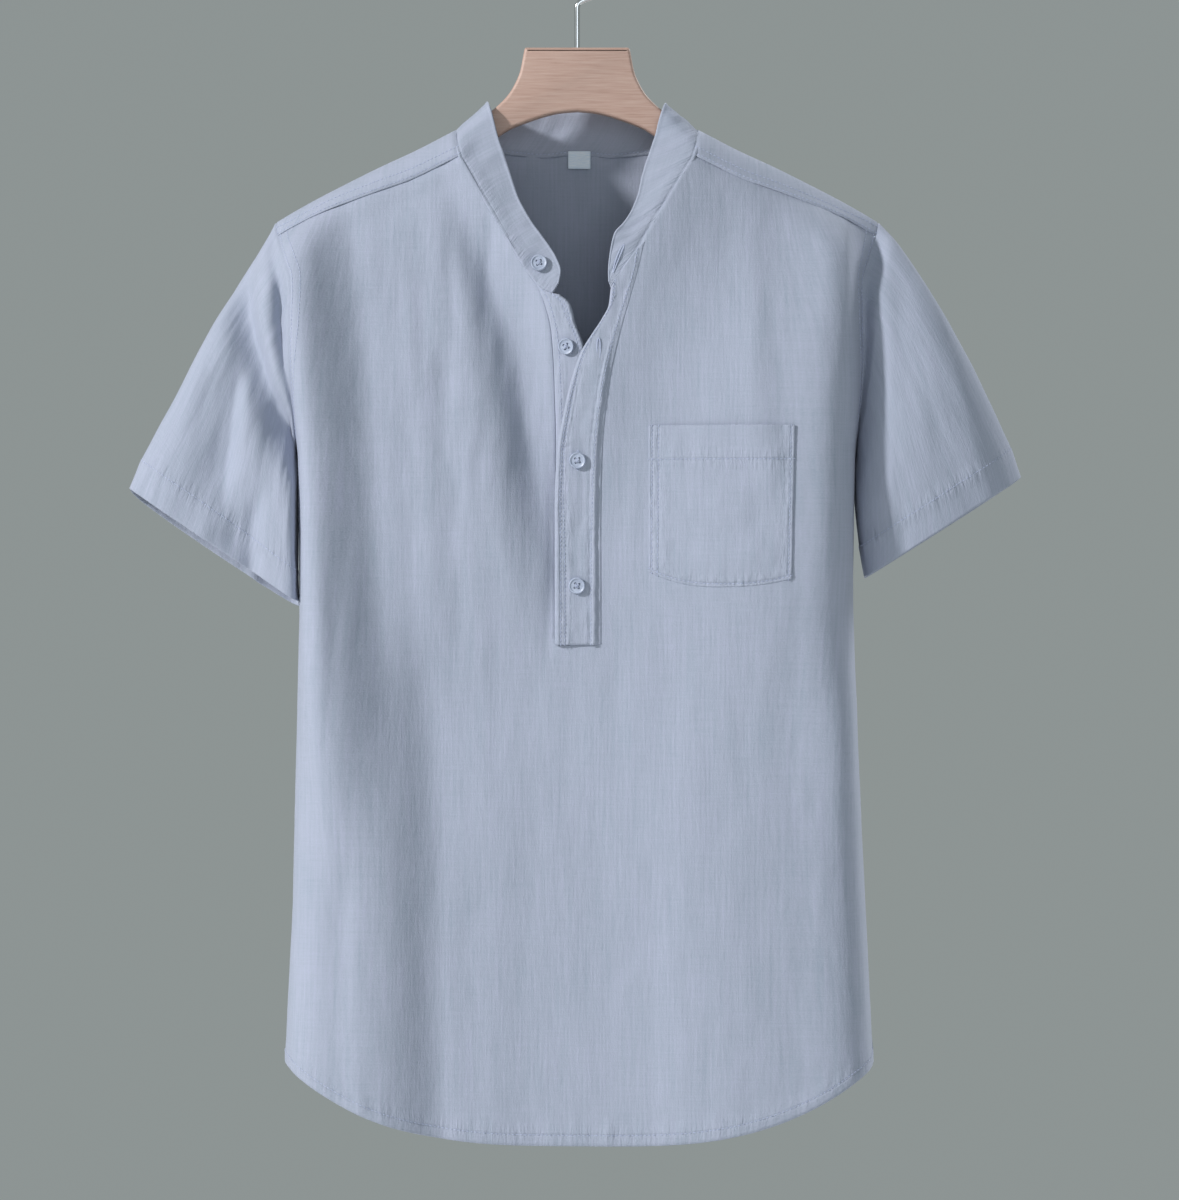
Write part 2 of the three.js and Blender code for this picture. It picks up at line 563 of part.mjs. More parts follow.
// Back, with the part that comes over the shoulders to the seams in front
function backMain() {
  const columns = 4 * GRID.shoulder;
  const neckColumns = columns - 2 * GRID.shoulder;
  const top = (u) => {
    const across = Math.abs(2 * u - 1) * columns / neckColumns;
    const beyond = (across * neckColumns - neckColumns) / (columns - neckColumns);
    const x = Math.sign(u - 0.5) * (across < 1 ? (1 - (1 - across) ** 1.9) * SIDE_NECK_X
      : THREE.MathUtils.lerp(SIDE_NECK_X, SHOULDER_TIP_X, beyond));
    const angle = across < 1 ? read(BACK_NECK, 'x', 'angle', Math.abs(x)) : 0;
    return { arc: arcAt(x, shoulderZ(x) - dropAt(angle)), angle };
  };
  const bottom = (u) => {
    const arc = THREE.MathUtils.lerp(-SIDE_ARC, SIDE_ARC, u);
    const x = Math.sign(arc) * halfWidth(HEM_BACK.low, arc) * sectionAt('arc', 'wide', Math.abs(arc));
    return { arc, angle: angleAt(shoulderZ(x) - hemZ(HEM_BACK, x)) };
  };
  const place = spanned({ left: sideEdge(BACK_OUTER, -1), right: sideEdge(BACK_OUTER, 1), top, bottom });
  return BACK_ROWS.map((v) => {
    const line = [];
    for (let i = 0; i <= columns; i++) {
      const { arc, angle } = place(i / columns, v);
      line.push(bodyPoint(1, arc, angle));
    }
    return line;
  });
}

function overShoulder(sign) {
  const seam = shoulderSeam(sign, -1);
  const lines = [];
  for (let j = 0; j <= GRID.strip; j++) {
    const down = 1 - j / GRID.strip;
    const line = [];
    for (let i = 0; i <= GRID.shoulder; i++) {
      const share = i / GRID.shoulder;
      const x = THREE.MathUtils.lerp(SHOULDER_TIP_X, SIDE_NECK_X, share);
      const nowX = THREE.MathUtils.lerp(x, Math.abs(seam[i].x), down ** 3);
      const angle = -angleAt(shoulderZ(seam[i].x) - seam[i].z) * down;
      line.push(j === 0 ? seam[i] : bodyPoint(1, arcAt(sign * nowX, shoulderZ(nowX) - dropAt(angle)), angle));
    }
    lines.push(sign < 0 ? line : line.reverse());
  }
  return lines;
}

// The points round one armhole: up the front edge, over the shoulder and down the back edge
function armhole(sign, front, main, strip) {
  const edge = (lines) => lines.map((line) => (sign < 0 ? line[0] : line[line.length - 1]));
  const frontEdge = edge(front).slice(1, GRID.armRows);
  const over = edge(strip).map((p, j) => (j === 0 ? p.clone().add(edge(front)[0]).multiplyScalar(0.5) : p));
  const backEdge = edge(main).slice(1, BACK_ARM_ROWS);
  const underarm = new THREE.Vector3(sign * armholeX(UNDERARM_Z, sign), 0, UNDERARM_Z);
  return [underarm, ...frontEdge.reverse(), ...over, ...backEdge];
}

// Sleeves
function sleevePoint(sleeve, s, arm) {
  const { sign, lines, folds, drop } = sleeve;
  const start = lines[0];
  const down = THREE.MathUtils.clamp((arm.z - start.outZ) / (start.inZ - start.outZ), 0, 1);
  const face = arm.y < 0 ? -1 : 1;
  const at = (column) => read(lines, 's', column, s);
  const across = (column) => THREE.MathUtils.lerp(at(`out${column}`), at(`in${column}`), down);
  const moved = (column) => across(column) - THREE.MathUtils.lerp(start[`out${column}`], start[`in${column}`], down);
  const loose = 1 - Math.exp(-s / 0.12);
  const x = sign * THREE.MathUtils.lerp(Math.abs(arm.x) + sleeve.gap + moved('X'), across('X'), loose);
  const z = THREE.MathUtils.lerp(arm.z + moved('Z'), across('Z'), loose);
  const round = (2 * Math.sqrt(down * (1 - down))) ** 0.85;
  const depth = THREE.MathUtils.lerp(Math.abs(arm.y), at('depth') * round, loose);
  const held = THREE.MathUtils.smoothstep(s, 0, 0.08) * THREE.MathUtils.smoothstep(round, 0, 0.5);
  const fold = foldDepth(folds, x, z) * (face < 0 ? 1 : 0.5);
  const low = face > 0 ? drop * s * s * round : 0;
  return new THREE.Vector3(x, face * (depth + fold * held), z - low);
}

function sleeveWall(sleeve, ring) {
  const around = [...ring, ring[0]];
  const lines = [];
  for (let j = 0; j <= GRID.sleeveRows; j++) {
    const s = (j / GRID.sleeveRows) ** 1.2;
    lines.push(around.map((arm) => sleevePoint(sleeve, s, arm)));
  }
  return wall([lines], CLOTH, sleeve.sign);
}

// Collar stand
function collarRow(row) {
  if (row.behind) {
    const [x, angle] = row.behind;
    return bodyPoint(1, arcAt(x, shoulderZ(x) - dropAt(angle)), angle);
  }
  const [x, z] = row.seam;
  return frontPoint(x, z, x < 0 ? 'left' : 'right');
}

const COLLAR_LINES = COLLAR.map((row, k) => {
  const seam = collarRow(row);
  return { k, seamX: seam.x, seamY: seam.y, seamZ: seam.z, topX: row.top[0], topY: seam.y + row.lean, topZ: row.top[1] };
});

function collarPoint(k, up) {
  const at = (column) => read(COLLAR_LINES, 'k', column, k);
  const seam = new THREE.Vector3(at('seamX'), at('seamY'), at('seamZ'));
  const top = new THREE.Vector3(at('topX'), at('topY'), at('topZ'));
  const share = THREE.MathUtils.lerp(COLLAR_GAP / seam.distanceTo(top), 1, up);
  return seam.lerp(top, share);
}

function collarStand() {
  const stations = COLLAR.length - 1;
  const lines = grid(stations, 3, (u, v) => collarPoint(u * stations, 1 - v));
  return wall([lines], BAND, 1);
}

// Plackets: strips between a free edge and the panel's own edge, moved out from the front
function placketStrip({ edge, seamTable, from, flap, lift, seamReach, lowReach }) {
  const rows = 22;
  const columns = 3;
  const point = (u, v) => {
    const seamV = THREE.MathUtils.lerp(from, 0.5, v);
    const edgeX = read(edge, 'v', 'x', v);
    const edgeZ = read(edge, 'v', 'z', v) - lowReach * v;
    const seamX = read(seamTable, 'v', 'x', seamV) + seamReach;
    const seamZ = read(seamTable, 'v', 'z', seamV) - lowReach * v;
    const share = flap === 'left' ? 1 - u : u;
    const sag = PLACKET_TOP_SAG * 4 * share * (1 - share) * Math.max(0, 1 - 8 * v);
    const x = THREE.MathUtils.lerp(edgeX, seamX, share) - (flap === 'left' ? sag : -sag) * 0.6;
    const z = THREE.MathUtils.lerp(edgeZ, seamZ, share) - SEAM * (1 - v) - sag;
    return frontPoint(x, z, flap).addScaledVector(frontNormal(x, z, flap), lift);
  };
  return wall([grid(columns, rows, point)], BAND, 1);
}

const OVER_LIFT = CLOTH / 2 + LAY + BAND / 2;

function underPlacket() {
  return placketStrip({
    edge: UNDER_EDGE, seamTable: LEFT_INNER, from: 0.215, flap: 'left', lift: 0, seamReach: SEAM, lowReach: -SEAM,
  });
}

function overPlacket() {
  return placketStrip({
    edge: OVER_EDGE, seamTable: RIGHT_INNER, from: 0.18, flap: 'right', lift: OVER_LIFT, seamReach: 1.5, lowReach: 1.5,
  });
}

// Chest pocket
function pocket() {
  const lift = CLOTH + LAY;
  const point = (u, v) => {
    const x = THREE.MathUtils.lerp(POCKET.left, POCKET.right - POCKET.taper * v, u);
    const side = u < 0.5 ? POCKET.sideLeft : POCKET.sideRight;
    const bottom = POCKET.low + (side - POCKET.low) * Math.abs(2 * u - 1) ** 2.4;
    const z = THREE.MathUtils.lerp(POCKET.top, bottom, v);
    const gape = POCKET.gape * (1 - v) ** 3 * Math.sin(Math.PI * u);
    return frontPoint(x, z, 'right').addScaledVector(frontNormal(x, z, 'right'), lift + gape);
  };
  return wall([grid(10, 8, point)], CLOTH, 1);
}

// Neck label, which hangs inside the back from the collar seam
function label() {
  const size = { left: -6.5, right: 9.5, top: -148.5, low: -161 };
  const thickness = 0.8;
  const point = (u, v) => {
    const x = THREE.MathUtils.lerp(size.left, size.right, u);
    const z = THREE.MathUtils.lerp(size.top, size.low, v);
    const { arc, angle } = placeAt(x, z);
    const behind = bodyPoint(1, arc, angle);
    return behind.add(new THREE.Vector3(0, -(CLOTH / 2 + LAY + thickness / 2) - 1.5 * v, 0));
  };
  return wall([grid(3, 3, point)], thickness, -1);
}

// A closed geometry as a solid that can be cut, and back.
function solid(geometry) {
  const bare = geometry.clone();
  bare.deleteAttribute('normal');
  bare.deleteAttribute('uv');
  const merged = mergeVertices(bare, 1e-4);
  const index = merged.index ?? { array: merged.attributes.position.array.map((_, i) => i) };
  return new wasm.Manifold(new wasm.Mesh({
    numProp: 3,
    vertProperties: Float32Array.from(merged.attributes.position.array),
    triVerts: Uint32Array.from(index.array),
  }));
}

function geometryOf(manifold) {
  const mesh = manifold.getMesh();
  const geometry = new THREE.BufferGeometry();
  geometry.setAttribute('position', new THREE.BufferAttribute(Float32Array.from(mesh.vertProperties), 3));
  geometry.setIndex([...mesh.triVerts]);
  return geometry;
}

// A four-hole button with a raised rim, lying in the XY plane with its face up
function buttonGeometry() {
  const r = BUTTON_RADIUS;
  const h = BUTTON_HEIGHT;
  const profile = [
    [0, 0], [r - 1.2, 0], [r - 0.3, 0.5], [r, 1.2], [r - 0.2, h - 0.4], [r - 0.8, h], [r - 1.5, h - 0.1],
    [r - 2.1, h - 0.9], [0, h - 0.9],
  ].map(([x, y]) => new THREE.Vector2(x, y));
  const blank = new THREE.LatheGeometry(profile, 24).rotateX(Math.PI / 2);
  let body = solid(blank);
  const holeOffset = 1.35;
  for (const x of [-holeOffset, holeOffset]) {
    for (const y of [-holeOffset, holeOffset]) {
      const hole = new THREE.CylinderGeometry(0.65, 0.65, 3 * h, 8).rotateX(Math.PI / 2).translate(x, y, 0);
      body = body.subtract(solid(hole));
    }
  }
  return geometryOf(body);
}

function buttonPlace(button) {
  if (button.collar) {
    const [k, up] = button.collar;
    const here = collarPoint(k, up);
    const along = collarPoint(k + 0.3, up).sub(collarPoint(k - 0.3, up));
    const rising = collarPoint(k, up + 0.1).sub(collarPoint(k, up - 0.1));
    const normal = along.cross(rising).normalize();
    if (normal.y > 0) normal.negate();
    return { here: here.addScaledVector(normal, BAND / 2 + LAY), normal };
  }
  const [x, z] = button.place;
  const normal = frontNormal(x, z, button.flap);
  const lift = (button.flap === 'left' ? 0 : OVER_LIFT) + BAND / 2 + LAY;
  return { here: frontPoint(x, z, button.flap).addScaledVector(normal, lift), normal };
}

// Hanger
const HANGER = {
  thickness: 13,
  bevel: 2.4,
  top: -76,
  holeRadius: 2.4,
  holeDepth: 14,
  neck: [[38.2, -76], [39.6, -84], [42.4, -96], [49.5, -109.5], [59.5, -119.8], [70, -127.6], [80, -134]],
  clear: [{ x: 88, down: 3.4 }, { x: 106, down: 2.2 }, { x: 150, down: 2.1 }, { x: 180, down: 3 }, { x: 203, down: 4.6 }],
  tipX: 203,
  under: [[198, -209.5], [170, -199], [144, -187.5], [116, -174.5], [88, -160], [66, -146.5], [53, -137.8],
    [46, -134], [30, -128], [15, -123.9], [0, -122.4]],
};

function hangerOutline() {
  const right = HANGER.neck.map(([x, z]) => new THREE.Vector2(x, z));
  for (let x = SIDE_NECK_X + 2; x < HANGER.tipX - 4; x += 14) {
    right.push(new THREE.Vector2(x, shoulderZ(x) - read(HANGER.clear, 'x', 'down', x)));
  }
  right.push(new THREE.Vector2(HANGER.tipX - 3, shoulderZ(HANGER.tipX - 3) - 4.4));
  right.push(new THREE.Vector2(HANGER.tipX, shoulderZ(HANGER.tipX) - 7));
  right.push(new THREE.Vector2(HANGER.tipX + 0.5, shoulderZ(HANGER.tipX) - 10.5));
  for (const [x, z] of HANGER.under) right.push(new THREE.Vector2(x, z));
  const left = right.slice(0, -1).reverse().map((p) => new THREE.Vector2(-p.x, p.y));
  return [...right, ...left];
}

function hangerGeometry() {
  const depth = HANGER.thickness - 2 * HANGER.bevel;
  const shape = new THREE.Shape(hangerOutline());
  const board = new THREE.ExtrudeGeometry(shape, {
    depth, steps: 1, bevelEnabled: true, bevelSize: HANGER.bevel, bevelThickness: HANGER.bevel,
    bevelOffset: -HANGER.bevel, bevelSegments: 2,
  }).translate(0, 0, -depth / 2).rotateX(Math.PI / 2);
  const hole = new THREE.CylinderGeometry(HANGER.holeRadius, HANGER.holeRadius, 2 * HANGER.holeDepth, 16)
    .rotateX(Math.PI / 2).translate(0, 0, HANGER.top);
  return geometryOf(solid(board).subtract(solid(hole)));
}

// The hook's wire stands in the hanger's hole and bends into an open ring over it.
const HOOK = { wire: 2.1, inside: 20, shankTop: -47, joinDegrees: -50, endDegrees: 205, rings: 36, sides: 6 };

function hookGeometry() {
  const radius = HOOK.inside + HOOK.wire;
  const centreZ = -HOOK.inside;
  const onRing = (degrees) => {
    const turn = THREE.MathUtils.degToRad(degrees);
    return new THREE.Vector3(radius * Math.cos(turn), 0, centreZ + radius * Math.sin(turn));
  };
  const path = new THREE.CurvePath();
  const foot = new THREE.Vector3(0, 0, HANGER.top - HANGER.holeDepth + 1);
  const shankTop = new THREE.Vector3(0, 0, HOOK.shankTop);
  const join = onRing(HOOK.joinDegrees);
  const alongRing = onRing(HOOK.joinDegrees + 1).sub(join).normalize();
  path.add(new THREE.LineCurve3(foot, shankTop));
  path.add(new THREE.CubicBezierCurve3(
    shankTop, new THREE.Vector3(0, 0, HOOK.shankTop + 7), join.clone().addScaledVector(alongRing, -7), join,
  ));
  const arcs = [];
  for (let degrees = HOOK.joinDegrees; degrees <= HOOK.endDegrees; degrees += 15) arcs.push(onRing(degrees));
  path.add(new THREE.CatmullRomCurve3(arcs));
  const section = new THREE.Shape().absarc(0, 0, HOOK.wire, 0, 2 * Math.PI);
  return new THREE.ExtrudeGeometry(section, { steps: HOOK.rings, curveSegments: HOOK.sides, bevelEnabled: false, extrudePath: path });
}

// Materials
const material = (colour, roughness, metalness = 0) => new THREE.MeshStandardMaterial({ color: colour, roughness, metalness });
const cloth = () => material(COLOURS.cloth, 0.85);

const shirt = new THREE.Group();

function addPiece(name, geometry, finish) {
  const mesh = new THREE.Mesh(geometry, finish);
  mesh.name = name;
  shirt.add(mesh);
  return mesh;
}

const left = frontSide(-1);
const right = frontSide(1);
const back = backMain();
const leftOver = overShoulder(-1);
const rightOver = overShoulder(1);
addPiece('front_panel', wall([left, right, frontMiddle(left, right)], CLOTH, 1), cloth());
addPiece('back_panel', wall([back, leftOver, rightOver], CLOTH, -1), cloth());
addPiece('sleeve_left', sleeveWall(SLEEVES.left, armhole(-1, left, back, leftOver)), cloth());
addPiece('sleeve_right', sleeveWall(SLEEVES.right, armhole(1, right, back, rightOver)), cloth());
addPiece('collar_stand', collarStand(), cloth());
addPiece('placket_under', underPlacket(), cloth());
addPiece('placket_over', overPlacket(), cloth());
addPiece('chest_pocket', pocket(), cloth());
addPiece('neck_label', label(), material(COLOURS.label, 0.7));
addPiece('hanger_board', hangerGeometry(), material(COLOURS.wood, 0.6));
addPiece('hanger_hook', hookGeometry(), material(COLOURS.metal, 0.3, 1));
for (const button of BUTTONS) {
  const mesh = addPiece(button.name, buttonGeometry(), material(COLOURS.button, 0.35));
  const { here, normal } = buttonPlace(button);
  mesh.position.copy(here);
  mesh.quaternion.setFromUnitVectors(new THREE.Vector3(0, 0, 1), normal);
}

export default shirt;
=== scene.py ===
"""A short-sleeved shirt with a mandarin collar on a wooden hanger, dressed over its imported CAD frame.

Sizes are in millimetres and are turned to metres where a mesh is made. The origin is the crown of the
hook, +Z is up and the front faces -Y. "Left" and "right" are the viewer's.
"""

import logging
import math
from collections.abc import Callable
from dataclasses import dataclass, field
from enum import Enum

import bpy
import numpy as np
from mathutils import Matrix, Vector, noise

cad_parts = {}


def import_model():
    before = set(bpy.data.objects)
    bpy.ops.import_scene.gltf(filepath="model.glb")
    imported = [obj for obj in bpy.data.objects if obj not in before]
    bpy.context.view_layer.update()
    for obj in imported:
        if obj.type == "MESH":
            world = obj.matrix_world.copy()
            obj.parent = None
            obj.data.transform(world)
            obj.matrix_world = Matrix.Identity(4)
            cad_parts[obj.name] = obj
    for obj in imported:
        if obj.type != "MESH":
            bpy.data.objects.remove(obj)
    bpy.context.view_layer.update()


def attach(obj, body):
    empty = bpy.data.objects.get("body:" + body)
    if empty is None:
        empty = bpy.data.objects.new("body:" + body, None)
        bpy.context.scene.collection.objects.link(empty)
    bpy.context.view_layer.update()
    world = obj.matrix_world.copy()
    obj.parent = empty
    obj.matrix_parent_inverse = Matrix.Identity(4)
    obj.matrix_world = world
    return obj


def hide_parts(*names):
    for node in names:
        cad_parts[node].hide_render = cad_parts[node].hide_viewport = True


log = logging.getLogger("shirt")
MM = 0.001

# Sizes that the cloth's form is worked out from, as in the CAD
TOP_CURVE = 170.0  # drop over which the cloth rounds from the shoulder line to its full depth
WIDE_POWER = 4.5
DEEP_POWER = 2.4
SECTION_FLATNESS = 0.27
SIDE_NECK_X = 88.0
SHOULDER_TIP_X = 218.0
UNDERARM_Z = -376.0
PLACKET_END_Z = -507.6
PLACKET_HALF = 15.5
CLOTH = 0.9  # thickness of one layer that shows
BAND = 1.4  # thickness of a folded double piece
CENTRE = np.array([9.0, 0.0, -477.5])  # what the camera looks at
PHOTO_HEIGHT = 873.0  # height of the photograph's frame at the hanger
CAMERA_DISTANCE = 4000.0
FLOOR_Z = -1700.0


class Table:
    """A short table of rows with named columns, read along smooth curves with no overshoot."""

    def __init__(self, columns: str, rows: list[tuple[float, ...]]) -> None:
        """Keeps the rows under their column names.

        Args:
            columns: The columns' names, separated by spaces.
            rows: One tuple of numbers for each row.
        """
        self.values = dict(zip(columns.split(), np.array(rows, float).T))

    def read(self, source: str, target: str, at: np.ndarray | float) -> np.ndarray:
        """Reads one column at values of another.

        Args:
            source: The column that `at` is given in, rising or falling.
            target: The column to read.
            at: Where to read it.

        Returns:
            The target column's values there.
        """
        xs, ys = self.values[source], self.values[target]
        if xs[-1] < xs[0]:
            xs, ys = xs[::-1], ys[::-1]
        at = np.clip(np.asarray(at, float), xs[0], xs[-1])
        rise = np.diff(ys) / np.diff(xs)
        product = rise[:-1] * rise[1:]
        total = rise[:-1] + rise[1:]
        inner = np.where(product > 0, 2 * product / np.where(product > 0, total, 1.0), 0.0)
        slope = np.concatenate([rise[:1], inner, rise[-1:]])
        k = np.clip(np.searchsorted(xs, at, side="right") - 1, 0, len(xs) - 2)
        span = xs[k + 1] - xs[k]
        t = (at - xs[k]) / span
        low = (2 * t**3 - 3 * t**2 + 1) * ys[k] + (t**3 - 2 * t**2 + t) * span * slope[k]
        return low + (3 * t**2 - 2 * t**3) * ys[k + 1] + (t**3 - t**2) * span * slope[k + 1]


SHOULDER = Table("x z", [
    (0, -98), (40, -112.5), (88, -136), (116, -150.5), (144, -163.5), (170, -176.5), (194, -189),
    (218, -203),
    (240, -218),
])
SEAM_DROP = Table("x drop", [(84, 21.6), (118, 20.5), (148, 17.2), (183, 12.6), (216, 10.5)])
BODY = Table("z left right front back inset", [
    (-90, 224, 224, 54, 50, 6),
    (-203, 224, 224, 54, 50, 6),
    (-232, 218.5, 218.5, 54, 50, 8),
    (-244, 216, 216, 54, 50, 9.5),
    (-274, 213, 213, 54, 50, 7),
    (-302, 210.5, 210.5, 54, 50, 4.5),
    (-340, 206.5, 206, 54, 50, 2),
    (-376, 202.5, 201.5, 55, 51, 0),
    (-478, 201.5, 200, 57, 52, 0),
    (-560, 203, 203, 58, 53, 0),
    (-690, 206, 208.5, 61, 55, 0),
    (-811, 211.5, 214.5, 64, 58, 0),
    (-880, 213, 216.5, 65, 59, 0),
])
HEM_FRONT = {"low": -869.5, "rise": 58.0}
HEM_BACK = {"low": -867.5, "rise": 56.5}
LEFT_INNER = Table("v x z", [
    (0, -84.6, -155.9), (0.06, -71.5, -179), (0.12, -57.5, -203.5), (0.18, -42.5, -228.5),
    (0.215, -32, -245.5),
    (0.25, -24.5, -262), (0.29, -19, -285), (0.33, -16.8, -318), (0.38, -PLACKET_HALF, -370),
    (0.5, -PLACKET_HALF, PLACKET_END_Z), (1, -PLACKET_HALF, HEM_FRONT["low"]),
])
RIGHT_INNER = Table("v x z", [
    (0, 84.6, -155.9), (0.06, 71.2, -178.5), (0.12, 58.5, -200), (0.18, 47, -220), (0.215, 42.5, -238),
    (0.25, 37, -258), (0.29, 29, -286), (0.33, 21.5, -320), (0.38, 16.6, -365), (0.42, PLACKET_HALF, -410),
    (0.5, PLACKET_HALF, PLACKET_END_Z), (1, PLACKET_HALF, HEM_FRONT["low"]),
])
FRONT_OUTER = Table("v z", [
    (0, -212.6), (0.1, -262), (0.2, -330), (0.25, -359), (0.3, UNDERARM_Z), (0.4, -438), (0.5, -503),
    (1, HEM_FRONT["low"] + HEM_FRONT["rise"]),
])
BACK_OUTER = Table("v z", [
    (0, -203), (0.1, -252), (0.2, -333), (0.24, -360), (0.28, UNDERARM_Z), (0.5, -520),
    (1, HEM_BACK["low"] + HEM_BACK["rise"]),
])
UNDER_EDGE = Table("v x z", [
    (0, -13, -257.4), (0.05, -5.5, -264.2), (0.11, -1.4, -279), (0.17, 4.2, -293.5), (0.26, 9, -315),
    (0.4, 13, -350), (0.55, 14.2, -390), (1, 14.2, PLACKET_END_Z),
])
OVER_EDGE = Table("v x z", [
    (0, 24.6, -254.2), (0.06, 23.2, -266), (0.12, 17.6, -277), (0.18, 10.2, -288), (0.25, 2.6, -301),
    (0.34, -3.6, -320), (0.44, -9, -344), (0.56, -13.8, -374), (0.7, -15.3, -412),
    (1, -15.3, PLACKET_END_Z),
])
BACK_NECK = Table("x angle", [(0, 0.8), (25, 0.745), (50, 0.635), (70, 0.5), (82, 0.32), (87, 0.13),
                              (88, 0)])


class Flap(Enum):
    """Which side of the front opening a piece of cloth belongs to."""

    LEFT = "left"
    RIGHT = "right"
    BOTH = "both"


@dataclass(frozen=True)
class Fold:
    """A trough (negative depth) or ridge that runs through three places from the top down."""

    x: tuple[float, float, float]
    z: tuple[float, float, float]
    left: float
    right: float
    depth: float
    flap: Flap = Flap.BOTH

    def lift(self, x: np.ndarray, z: np.ndarray) -> np.ndarray:
        """How far the fold moves the cloth outwards at x, z."""
        t = (z - self.z[0]) / (self.z[2] - self.z[0])
        through = (self.z[1] - self.z[0]) / (self.z[2] - self.z[0])
        bend = np.where(t < through, 0.5 * t / through, 0.5 + 0.5 * (t - through) / (1 - through))
        pull = 2 * self.x[1] - (self.x[0] + self.x[2]) / 2
        centre = (1 - bend) ** 2 * self.x[0] + 2 * bend * (1 - bend) * pull + bend**2 * self.x[2]
        away = (x - centre) / np.where(x < centre, self.left, self.right)
        fade = smoothstep(t, 0, 0.3)
        if self.z[2] > HEM_FRONT["low"]:
            fade = fade * smoothstep(1 - t, 0, 0.4)
        return np.where((t > 0) & (t < 1), self.depth * fade * np.exp(-(away**2)), 0.0)


L, R = Flap.LEFT, Flap.RIGHT
FRONT_FOLDS = [
    # The deep fold by the left side: its crest, its dark slope and where it runs on to the hem
    Fold((-209, -205, -172), (-110, -380, -700), 11, 28, 25),
    Fold((-174, -144, -130), (-110, -345, -670), 26, 210, -15),
    Fold((-114, -97, -94), (-440, -630, -890), 32, 230, -18),
    Fold((-206, -205, -204), (-480, -680, -890), 12, 44, 10),
    # The drag from the neck to the opening's left edge
    Fold((-100, -45, -8), (-150, -290, -520), 19, 34, -15, L),
    Fold((-58, -20, -8), (-190, -262, -330), 18, 18, 3, L),
    # The gap beside the closed placket's edge
    Fold((-16.5, -16.5, -16.5), (-355, -425, -515), 4.5, 3, -2.4, L),
    Fold((-96, -92, -96), (-190, -290, -400), 12, 7, -2.5),
    Fold((-120, -116, -114), (-140, -215, -310), 28, 60, -4),
    Fold((78, 24, 2), (-150, -280, -440), 44, 40, 9, R),
    # The crest by the right side, and streaks beside it
    Fold((192, 195, 197), (-110, -360, -660), 30, 9, 19),
    Fold((200, 207, 211), (-480, -680, -890), 34, 9, 17),
    Fold((150, 156, 160), (-180, -480, -890), 110, 80, 12),
    Fold((156, 156, 157), (-160, -360, -620), 72, 46, 12),
    Fold((128, 128, 130), (-150, -280, -420), 10, 11, 1.5),
    Fold((92, 84, 104), (-500, -680, -890), 24, 26, 1.2),
    Fold((10, 24, 38), (-560, -720, -890), 26, 22, -1.2),
    Fold((-70, -58, -66), (-520, -700, -890), 24, 26, 1.2),
]
BACK_FOLDS = [
    Fold((-150, -122, -132), (-230, -480, -890), 30, 14, -9),
    Fold((-66, -48, -58), (-260, -520, -890), 18, 26, -6),
    Fold((-4, 10, -2), (-190, -520, -890), 24, 20, 5),
    Fold((52, 64, 50), (-330, -560, -890), 22, 16, -6.5),
    Fold((146, 128, 140), (-220, -460, -890), 14, 32, -9.5),
]

# Creases too small for the CAD
FRONT_CREASES = [
    Fold((-66, -64, -70), (-172, -230, -330), 7, 5, -1.2, L),
    Fold((-112, -110, -114), (-188, -240, -330), 7, 6, -1.0),
    Fold((-122, -120, -118), (-300, -380, -520), 12, 8, -1.4),
    Fold((-100, -88, -84), (-330, -420, -560), 14, 9, -1.2),
    Fold((-22, -20, -20), (-452, -486, -530), 6, 5, -1.2),
    Fold((-172, -176, -180), (-420, -520, -640), 8, 8, -1.6),
    Fold((28, 30, 30), (-500, -540, -640), 9, 7, -0.5),
    Fold((64, 70, 60), (-470, -540, -650), 12, 9, -0.5),
    Fold((118, 128, 120), (-360, -410, -455), 14, 10, -1.1),
    Fold((70, 74, 72), (-352, -372, -398), 10, 8, 0.8),
    Fold((184, 180, 176), (-470, -560, -700), 12, 8, -0.6),
    Fold((60, 52, 56), (-620, -740, -890), 12, 10, -0.5),
    Fold((-28, -36, -30), (-600, -730, -890), 12, 10, -0.6),
    Fold((-164, -172, -168), (-640, -760, -890), 14, 9, -2.2),
    Fold((-92, -90, -84), (-640, -760, -890), 10, 12, 0.7),
    Fold((182, 190, 184), (-620, -760, -890), 12, 12, -0.6),
]
BACK_CREASES = [
    Fold((-96, -92, -100), (-170, -240, -360), 10, 8, -1.4),
    Fold((92, 96, 100), (-170, -240, -360), 8, 10, -1.4),
    Fold((-176, -170, -174), (-300, -460, -700), 10, 12, -2.0),
    Fold((172, 170, 176), (-320, -480, -720), 12, 10, -2.0),
    Fold((-20, -24, -14), (-480, -650, -890), 10, 12, -1.8),
    Fold((98, 94, 90), (-480, -680, -890), 14, 10, 1.8),
    Fold((-96, -90, -94), (-560, -720, -890), 10, 12, 1.6),
]

